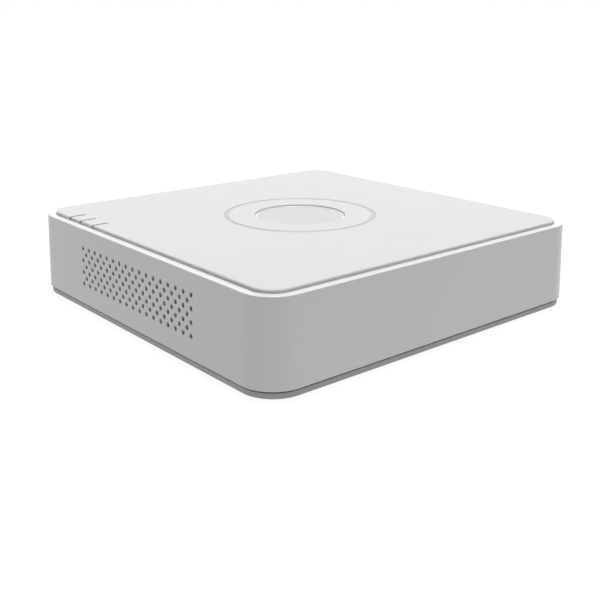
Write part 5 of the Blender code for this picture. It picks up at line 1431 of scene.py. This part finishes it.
def make_disk_casting():
    """Die-cast tub with a machined rim, side screw holes, spindle pin and arm pin."""
    low, high = node_box("disk_base")
    wall = 2.3
    levels = ((0.5, 2.6, low.z), (0.0, 3.0, low.z + 0.5), (0.0, 3.0, high.z - 4.2),
              (0.35, 2.8, high.z - 3.9), (0.35, 2.8, high.z - 3.4), (0.0, 3.0, high.z - 3.1),
              (0.0, 3.0, high.z - 0.3), (0.3, 2.8, high.z))
    tub = piece("disk_casting", Draft().loft([box_ring(low, high, *level) for level in levels]),
                CASTING, "disk_base")
    cavity_high = Vector((high.x - 9.5, high.y, high.z))
    levels = ((wall + 0.6, 3.4, DISK_FLOOR), (wall, 4.0, DISK_FLOOR + 0.6), (wall, 4.0, high.z + 2.0))
    carve(tub, Draft().loft([box_ring(low, cavity_high, *level) for level in levels]))
    carve(tub, Draft().block((-25.0, low.y + 7, low.z - 1), (high.x + 1, high.y - 7, low.z + 2.4)))
    carve(tub, Draft().block((high.x - 7, CASE_Y - 70.0, low.z + 1), (high.x + 1, CASE_Y - 26.0, 14.5)))
    side_holes = Draft()
    for x in (high.x - 28.5, high.x - 70.0, high.x - 130.0):
        for start, end in ((low.y - 1, low.y + 1.8), (high.y - 1.8, high.y + 1)):
            side_holes.rod(1.5, end, start, along_y(x, low.z + 6.35), 24)
    carve(tub, side_holes)
    pins = Draft()
    spindle = centre("disk_platters")
    for x, y, radius in ((spindle.x, spindle.y, 4.0), (*ARM_PIN, 2.5)):
        pins.lathe([(0.0, DISK_PIN_TOP), (radius - 0.4, DISK_PIN_TOP), (radius, DISK_PIN_TOP - 0.4),
                    (radius, DISK_FLOOR + 0.5), (radius + 0.5, DISK_FLOOR - 0.5), (0.0, DISK_FLOOR - 0.5)],
                   upright(x, y), 40)
    carve(tub, pins, "UNION")
    weigh_normals(tub)


def make_disk_cover():
    """Stamped lid with embossed areas over the platters and the arm, its screws and a blank label."""
    low, high = node_box("disk_lid")
    top = high.z
    sheet = top - 0.75
    levels = ((0.25, 2.8, low.z), (0.0, 3.0, low.z + 0.25), (0.0, 3.0, sheet - 0.35),
              (0.12, 2.9, sheet - 0.1), (0.4, 2.6, sheet))
    lid = piece("disk_cover_plate", Draft().loft([box_ring(low, high, *level) for level in levels]),
                SPANGLE, "disk_lid")
    spindle = centre("disk_platters")
    raised = [(0.0, top), (43.6, top), (44.0, top - 0.1), (45.0, sheet - 0.02), (45.0, sheet - 0.4),
              (0.0, sheet - 0.4)]
    carve(lid, Draft().lathe(raised, upright(spindle.x, spindle.y), 128), "UNION")
    pad_low = Vector((spindle.x + 40.0, low.y + 9.0, 0.0))
    pad_high = Vector((high.x - 9.0, high.y - 9.0, 0.0))
    levels = ((0.0, 9.0, sheet - 0.4), (0.0, 9.0, sheet - 0.02), (0.9, 8.4, top - 0.1), (1.3, 8.1, top))
    carve(lid, Draft().loft([box_ring(pad_low, pad_high, *level) for level in levels]), "UNION")
    waist = (low.x + high.x) / 2 + 12.0
    dimples = Draft()
    screws = Draft()
    for x, y in ((low.x + 5.0, low.y + 5.0), (high.x - 5.0, low.y + 5.0), (low.x + 5.0, high.y - 5.0),
                 (high.x - 5.0, high.y - 5.0), (waist, low.y + 4.4), (waist, high.y - 4.4), ARM_PIN):
        dimples.lathe([(0.0, top + 1), (3.3, top + 1), (3.3, sheet - 0.3), (3.0, sheet - 0.45),
                       (0.0, sheet - 0.45)], upright(x, y), 40)
        screws.lathe([(0.0, sheet - 0.2), (0.85, sheet - 0.2), (0.95, top - 0.2), (1.1, top - 0.1),
                      (1.9, top - 0.1), (2.3, top - 0.3), (2.4, top - 0.6), (2.4, sheet - 0.44),
                      (0.0, sheet - 0.44)], upright(x, y), 32)
    carve(lid, dimples)
    weigh_normals(lid)
    piece("disk_cover_screws", screws, NICKEL, angle=40.0)
    half = Vector((29.0, 27.0, 0.0))
    label = [box_ring(spindle - half, spindle + half, 0.0, 2.0, z) for z in (top - 0.02, top + 0.05)]
    piece("disk_cover_label", Draft().loft(label), PAPER)


def make_platters():
    """Mirror platters on a hub with six holes."""
    _, high, radius, place = turned_node("disk_platters")
    cap = high.z
    hub = 13.6
    pair = Draft()
    for level in (15.0, 21.5):
        pair.lathe([(hub, level + 1.2), (radius - 0.15, level + 1.2), (radius, level + 1.05),
                    (radius, level + 0.15), (radius - 0.15, level), (hub, level)], place, 144)
    piece("platter_pair", pair, MIRROR, "disk_platters", "disk_platters")
    profile = [(4.8, cap - 0.6), (5.2, cap), (hub - 1.6, cap), (hub - 0.6, cap - 0.8), (hub - 0.2, cap - 1.6),
               (hub - 0.2, 12.7), (hub - 0.6, 12.5), (4.7, 12.5), (4.7, cap - 1.8), (4.8, cap - 1.6)]
    hub_piece = piece("platter_hub", Draft().lathe(profile, place, 96), CASTING, body="disk_platters")
    holes = Draft()
    for x, y in polar([9.0] * 6):
        holes.lathe([(0.0, cap + 1), (1.3, cap + 1), (1.3, cap - 1.0), (0.0, cap - 1.2)],
                    place @ upright(x, y), 20)
    carve(hub_piece, holes)


def mirrored_outline(side):
    """Outline from the points of its +y side, with their reflections in the X axis first."""
    return [(x, -y) for x, y in side] + list(side)[::-1]


def make_head_arm():
    """Arm block with three fingers that carry the heads, and its coil."""
    pivot = upright(*ARM_PIN)
    place = pivot @ Matrix.Rotation(ARM_REST, 4, "Z")
    block = [(3.1, 25.6), (3.5, 26.0), (6.5, 26.0), (7.0, 25.5), (7.0, 12.5), (6.5, 12.0), (3.1, 12.0)]
    arm = piece("head_arm_block", Draft().lathe(block, pivot, 64), CASTING, "head_arm", "head_arm")
    fingers = Draft()
    finger = ((4.5, 3.6), (20.0, 3.0), (44.0, 1.5), (51.6, 1.2), (52.0, 0.8))
    for level in (13.0, 18.3, 23.5):
        fingers.prism(mirrored_outline(finger), place, level, level + 1.0)
    carve(arm, fingers, "UNION")
    tail = [(-5.0, -3.6), (-5.0, 3.6), (-9.0, 4.6), (-9.0, -4.6)]
    carve(arm, Draft().prism(tail, place, 18.0, 20.0), "UNION")
    window = mirrored_outline(((12.0, 1.9), (24.0, 1.3), (36.0, 0.7)))
    carve(arm, Draft().prism(window, place, 12.0, 25.5))
    loop = mirrored_outline(((-8.6, 4.4), (-20.5, 6.4), (-21.2, 5.8)))
    inner = mirrored_outline(((-11.5, 2.4), (-18.0, 3.4), (-18.4, 3.0)))
    coil = Draft()
    coil.skin([flat_ring(outline, place, z)
               for outline, z in ((loop, 18.05), (loop, 19.95), (inner, 19.95), (inner, 18.05))], closed=True)
    piece("arm_coil", coil, COPPER, body="head_arm")


def make_magnet():
    """Magnet yoke, slotted for the coil."""
    low, high = node_box("arm_magnet")
    yoke = piece("magnet_yoke", Draft().block(low, high, 0.5), NICKEL, "arm_magnet")
    carve(yoke, Draft().block((low.x - 2, low.y + 2.0, 16.8), (high.x + 3.5, high.y + 2, 21.2)))
    weigh_normals(yoke)


def make_disk_board():
    """Drive electronics: board and edge connector."""
    low, high = node_box("disk_board")
    top = low.z + 1.5
    piece("disk_board_laminate", Draft().plate(low, high, 1.5, low.z + 0.2, top), BOARD, "disk_board")
    body = Draft().block((high.x - 6.2, CASE_Y - 69.4, top - 0.3), (high.x, CASE_Y - 26.6, high.z), 0.3)
    plug = piece("disk_connector", body, BLACK)
    for start, end in ((-67.5, -52.0), (-50.0, -28.0)):
        carve(plug, Draft().block((high.x - 4.5, CASE_Y + start, top + 1.2),
                                  (high.x + 1, CASE_Y + end, high.z - 0.9)))
    weigh_normals(plug)


# ---------------------------------------------------------------- light board and cables

def make_light_board():
    """Indicator board, with a lamp in a white cup under each light pipe."""
    low, high = node_box("light_board")
    top = low.z + 1.2
    board = piece("light_board_laminate", Draft().plate(low, high, 1.2, low.z, top), BOARD, "light_board")
    second_material(board, CERAMIC, lambda face: abs(face.normal.z) < 0.5)
    lamps, cups, resistors, ends, tracks, vias, screws = (Draft() for _ in range(7))
    y = CASE_Y - 89.75
    for _, x in LIGHTS:
        cups.block((x - 1.6, y - 1.25, top), (x + 1.6, y + 1.25, top + 0.8), 0.12)
        lamps.block((x - 1.1, y - 0.85, top + 0.7), (x + 1.1, y + 0.85, top + 1.05), 0.15)
        add_chip_part(resistors, ends, x + 2.9, y, False, (1.5, 0.8, 0.5), top)
        add_bus(tracks, vias, ((x, -88.0), (x, -86.0), (x - 1.5, -84.5)), 2, 0.9, 0.35, top)
    for x, y in LIGHT_POSTS:
        add_pan_screw(screws, x, y, top + 0.02, 2.0, 1.2, 0.8, 2.0)
    piece("light_board_lamps", lamps, CLEAR)
    piece("light_board_cups", cups, IVORY)
    piece("light_board_resistors", resistors, CHIP)
    piece("light_board_ends", ends, TIN)
    piece("light_board_tracks", tracks, TRACE)
    piece("light_board_vias", vias, TIN)
    piece("light_board_screws", screws, NICKEL, angle=40.0)


def case_route(*points):
    return [Vector((x, CASE_Y + y, z)) for x, y, z in points]


def make_wires(prefix, node, route, wires, reach, radius, turns):
    """A lead of wires that wind round a route, the first of which stands for its CAD node."""
    frames = path_frames(smooth_path(route, 7))
    for number, (name, material) in enumerate(wires):
        path = []
        for i, (point, side, up) in enumerate(frames):
            angle = 2 * math.pi * (number / len(wires) + turns * i / (len(frames) - 1))
            path.append(point + side * reach * math.cos(angle) + up * reach * math.sin(angle))
        stands_for = None if number else node
        piece(prefix + name, Draft().tube(path, radius), material, stands_for, angle=60.0)


def make_plug(name, low, high, material, axis=0, ribs=4):
    """A cable plug with rounded edges and a row of grip ribs across its top; y from the case's middle."""
    low = Vector(low) + Vector((0, CASE_Y, 0))
    high = Vector(high) + Vector((0, CASE_Y, 0))
    plug = piece(name, Draft().block(low, high, 0.4), material)
    grooves = Draft()
    for number in range(ribs):
        place = low[axis] + (high[axis] - low[axis]) * (number + 1.5) / (ribs + 2)
        cut_low = low - Vector((1.0, 1.0, 0.0))
        cut_high = high + Vector((1.0, 1.0, 1.0))
        cut_low.z = high.z - 0.35
        cut_low[axis] = place - 0.3
        cut_high[axis] = place + 0.3
        grooves.block(cut_low, cut_high)
    carve(plug, grooves)
    weigh_normals(plug)


def make_disk_cables():
    """Data ribbon and power wires, from the disk to the main board."""
    board = BOARD_TOP + 0.3
    side = node_box("disk_board")[1].x + 0.6
    data = case_route((79.0, -60.0, 10.5), (84.0, -58.5, 11.5), (90.0, -50.0, 13.0), (91.5, -25.0, 15.0),
                      (91.0, 0.0, 18.0), (87.0, 18.0, 23.0), (79.0, 27.5, 29.0), (71.5, 30.0, 27.5),
                      (70.0, 30.0, 20.0))
    ribbon = Draft().tube(smooth_path(data, 8), 1.85, 20, 0.55)
    piece("sata_ribbon", ribbon, RED, "sata_cable", angle=60.0)
    make_plug("sata_plug_disk", (side, -66.0, 8.3), (side + 12, -54.0, 13.0), BLACK)
    make_plug("sata_plug_board", (66.8, 23.0, board + 8.3), (73.2, 37.0, board + 15.0), BLACK, 1)
    power = case_route((78.0, -39.0, 11.0), (82.5, -36.5, 13.0), (84.5, -26.0, 17.0), (83.0, -8.0, 21.0),
                       (76.0, 8.0, 23.0), (63.0, 19.0, 23.5), (54.0, 25.0, 21.5), (51.5, 27.0, 15.0))
    wires = (("yellow", YELLOW), ("black", BLACK), ("red", RED), ("ground", BLACK))
    make_wires("disk_power_wire_", "disk_power_cable", power, wires, 1.25, 0.85, 1.5)
    make_plug("disk_power_plug", (side, -50.0, 8.3), (side + 12, -28.0, 13.6), BLACK)
    make_plug("board_power_plug", (46.0, 23.5, board), (57.0, 30.5, board + 8.0), IVORY, 0, 3)


def make_leads():
    """Twisted leads of the fan and the indicator board, to plugs on the main board."""
    board = BOARD_TOP + 0.3
    side = node_box("heat_sink")[1].x
    fan = case_route((side + 0.7, 58.0, 25.0), (side + 4, 60.5, 23.5), (side + 5.5, 64.5, 17.5),
                     (side + 5.5, 67.0, 12.0))
    wires = (("red", RED), ("black", BLACK))
    make_wires("fan_wire_", "fan_lead", fan, wires, 0.5, 0.45, 1.5)
    make_plug("fan_plug", (side + 2.0, 65.0, board), (side + 9.0, 69.5, board + 5.0), IVORY, 0, 2)
    light = case_route((-71.5, -82.6, 34.9), (-75.0, -77.0, 35.0), (-83.5, -70.0, 32.5), (-88.5, -58.0, 24.0),
                       (-89.5, -40.0, 15.0), (-89.0, -10.0, 12.0), (-86.0, 14.0, 12.5), (-78.5, 28.0, 13.0),
                       (-75.0, 35.5, 12.0))
    wires = (("red", RED), ("white", IVORY), ("black", BLACK), ("yellow", YELLOW))
    make_wires("light_wire_", "light_lead", light, wires, 0.65, 0.42, 5.0)
    make_plug("light_plug", (-78.0, 32.5, board), (-72.5, 39.5, board + 5.0), IVORY, 1, 2)


# ---------------------------------------------------------------- stage

def background(tree, strength):
    """A white background of the given strength."""
    node = tree.nodes.new("ShaderNodeBackground")
    node.inputs["Color"].default_value = (1.0, 1.0, 1.0, 1.0)
    node.inputs["Strength"].default_value = strength
    return node


def mix(tree, factor, first, second):
    """One shader blended into another by a factor."""
    node = tree.nodes.new("ShaderNodeMixShader")
    for socket, source in zip(node.inputs, (factor, first, second)):
        tree.links.new(source, socket)
    return node.outputs["Shader"]


def make_world():
    """White to the camera, a soft gradient to glossy surfaces, and almost dark to the rest."""
    world = bpy.data.worlds.new("studio")
    bpy.context.scene.world = world
    world.use_nodes = True
    tree = world.node_tree
    tree.nodes.remove(tree.nodes["Background"])
    seen = background(tree, SKY_SEEN)
    fill = background(tree, SKY_FILL)
    mirrored = background(tree, SKY_MIRRORED)
    axes = tree.nodes.new("ShaderNodeSeparateXYZ")
    coords = tree.nodes.new("ShaderNodeTexCoord")
    tree.links.new(coords.outputs["Generated"], axes.inputs["Vector"])
    rise = spread(tree, axes.outputs["Z"], SKY_MIRRORED * SKY_DIM, SKY_MIRRORED, mirrored.inputs["Strength"])
    rise.inputs["From Min"].default_value = SKY_LOW
    rise.inputs["From Max"].default_value = SKY_HIGH
    path = tree.nodes.new("ShaderNodeLightPath")
    glossy = mirrored.outputs["Background"]
    unseen = mix(tree, path.outputs["Is Glossy Ray"], fill.outputs["Background"], glossy)
    whole = mix(tree, path.outputs["Is Camera Ray"], unseen, seen.outputs["Background"])
    tree.links.new(whole, tree.nodes["World Output"].inputs["Surface"])


def make_stage():
    """Glowing white floor and white surroundings, lit by one soft source straight above."""
    sheet = Draft()
    bmesh.ops.create_grid(sheet.bm, x_segments=1, y_segments=1, size=20000.0)
    floor = bpy.data.objects.new("floor", finished_mesh("floor", sheet, 32.0))
    bpy.context.scene.collection.objects.link(floor)
    material, _, shader = shader_material("studio_floor", (FLOOR, FLOOR, FLOOR), 0.9)
    shader.inputs["Specular IOR Level"].default_value = 0.0
    shader.inputs["Emission Color"].default_value = (1.0, 1.0, 1.0, 1.0)
    shader.inputs["Emission Strength"].default_value = FLOOR_GLOW
    floor.data.materials.append(material)
    make_world()
    overhead = bpy.data.lights.new("overhead", "SUN")
    overhead.energy = SUN
    overhead.angle = math.radians(SUN_ANGLE)
    lamp = bpy.data.objects.new("overhead", overhead)
    lamp.rotation_euler = (math.radians(SUN_TILT[0]), math.radians(SUN_TILT[1]), 0.0)
    bpy.context.scene.collection.objects.link(lamp)
    bpy.context.scene.view_settings.view_transform = "Standard"


def make_camera():
    azimuth = math.radians(CAMERA_AZIMUTH)
    elevation = math.radians(CAMERA_ELEVATION)
    aim = Vector((CAMERA_AIM[0], CASE_Y + CAMERA_AIM[1], CAMERA_AIM[2]))
    away = Vector((math.sin(azimuth) * math.cos(elevation),
                   -math.cos(azimuth) * math.cos(elevation), math.sin(elevation)))
    data = bpy.data.cameras.new("camera")
    data.lens = CAMERA_LENS
    data.sensor_width = SENSOR
    data.clip_start = 0.01
    camera = bpy.data.objects.new("camera", data)
    camera.location = (aim + away * CAMERA_DISTANCE) * MM
    camera.rotation_euler = (math.pi / 2 - elevation, 0.0, azimuth)
    bpy.context.scene.collection.objects.link(camera)
    bpy.context.scene.camera = camera


for make in (make_camera, make_stage,
             make_shell, make_top_panel, make_dish, make_light_pipes, make_tray, make_feet, make_case_screws,
             make_rear_plate, make_video_sockets, make_audio_sockets, make_vga_socket, make_hdmi_socket,
             make_network_jack, make_usb_ports, make_power_jack, make_ground_screw,
             make_main_board, make_chips, make_regulators, make_heat_sink, make_coin_cell, make_buzzer,
             make_capacitors, make_inductor, make_sata_socket, make_fan_housing, make_fan_impeller,
             make_disk_casting, make_disk_cover, make_platters, make_head_arm, make_magnet, make_disk_board,
             make_light_board, make_disk_cables, make_leads):
    make()
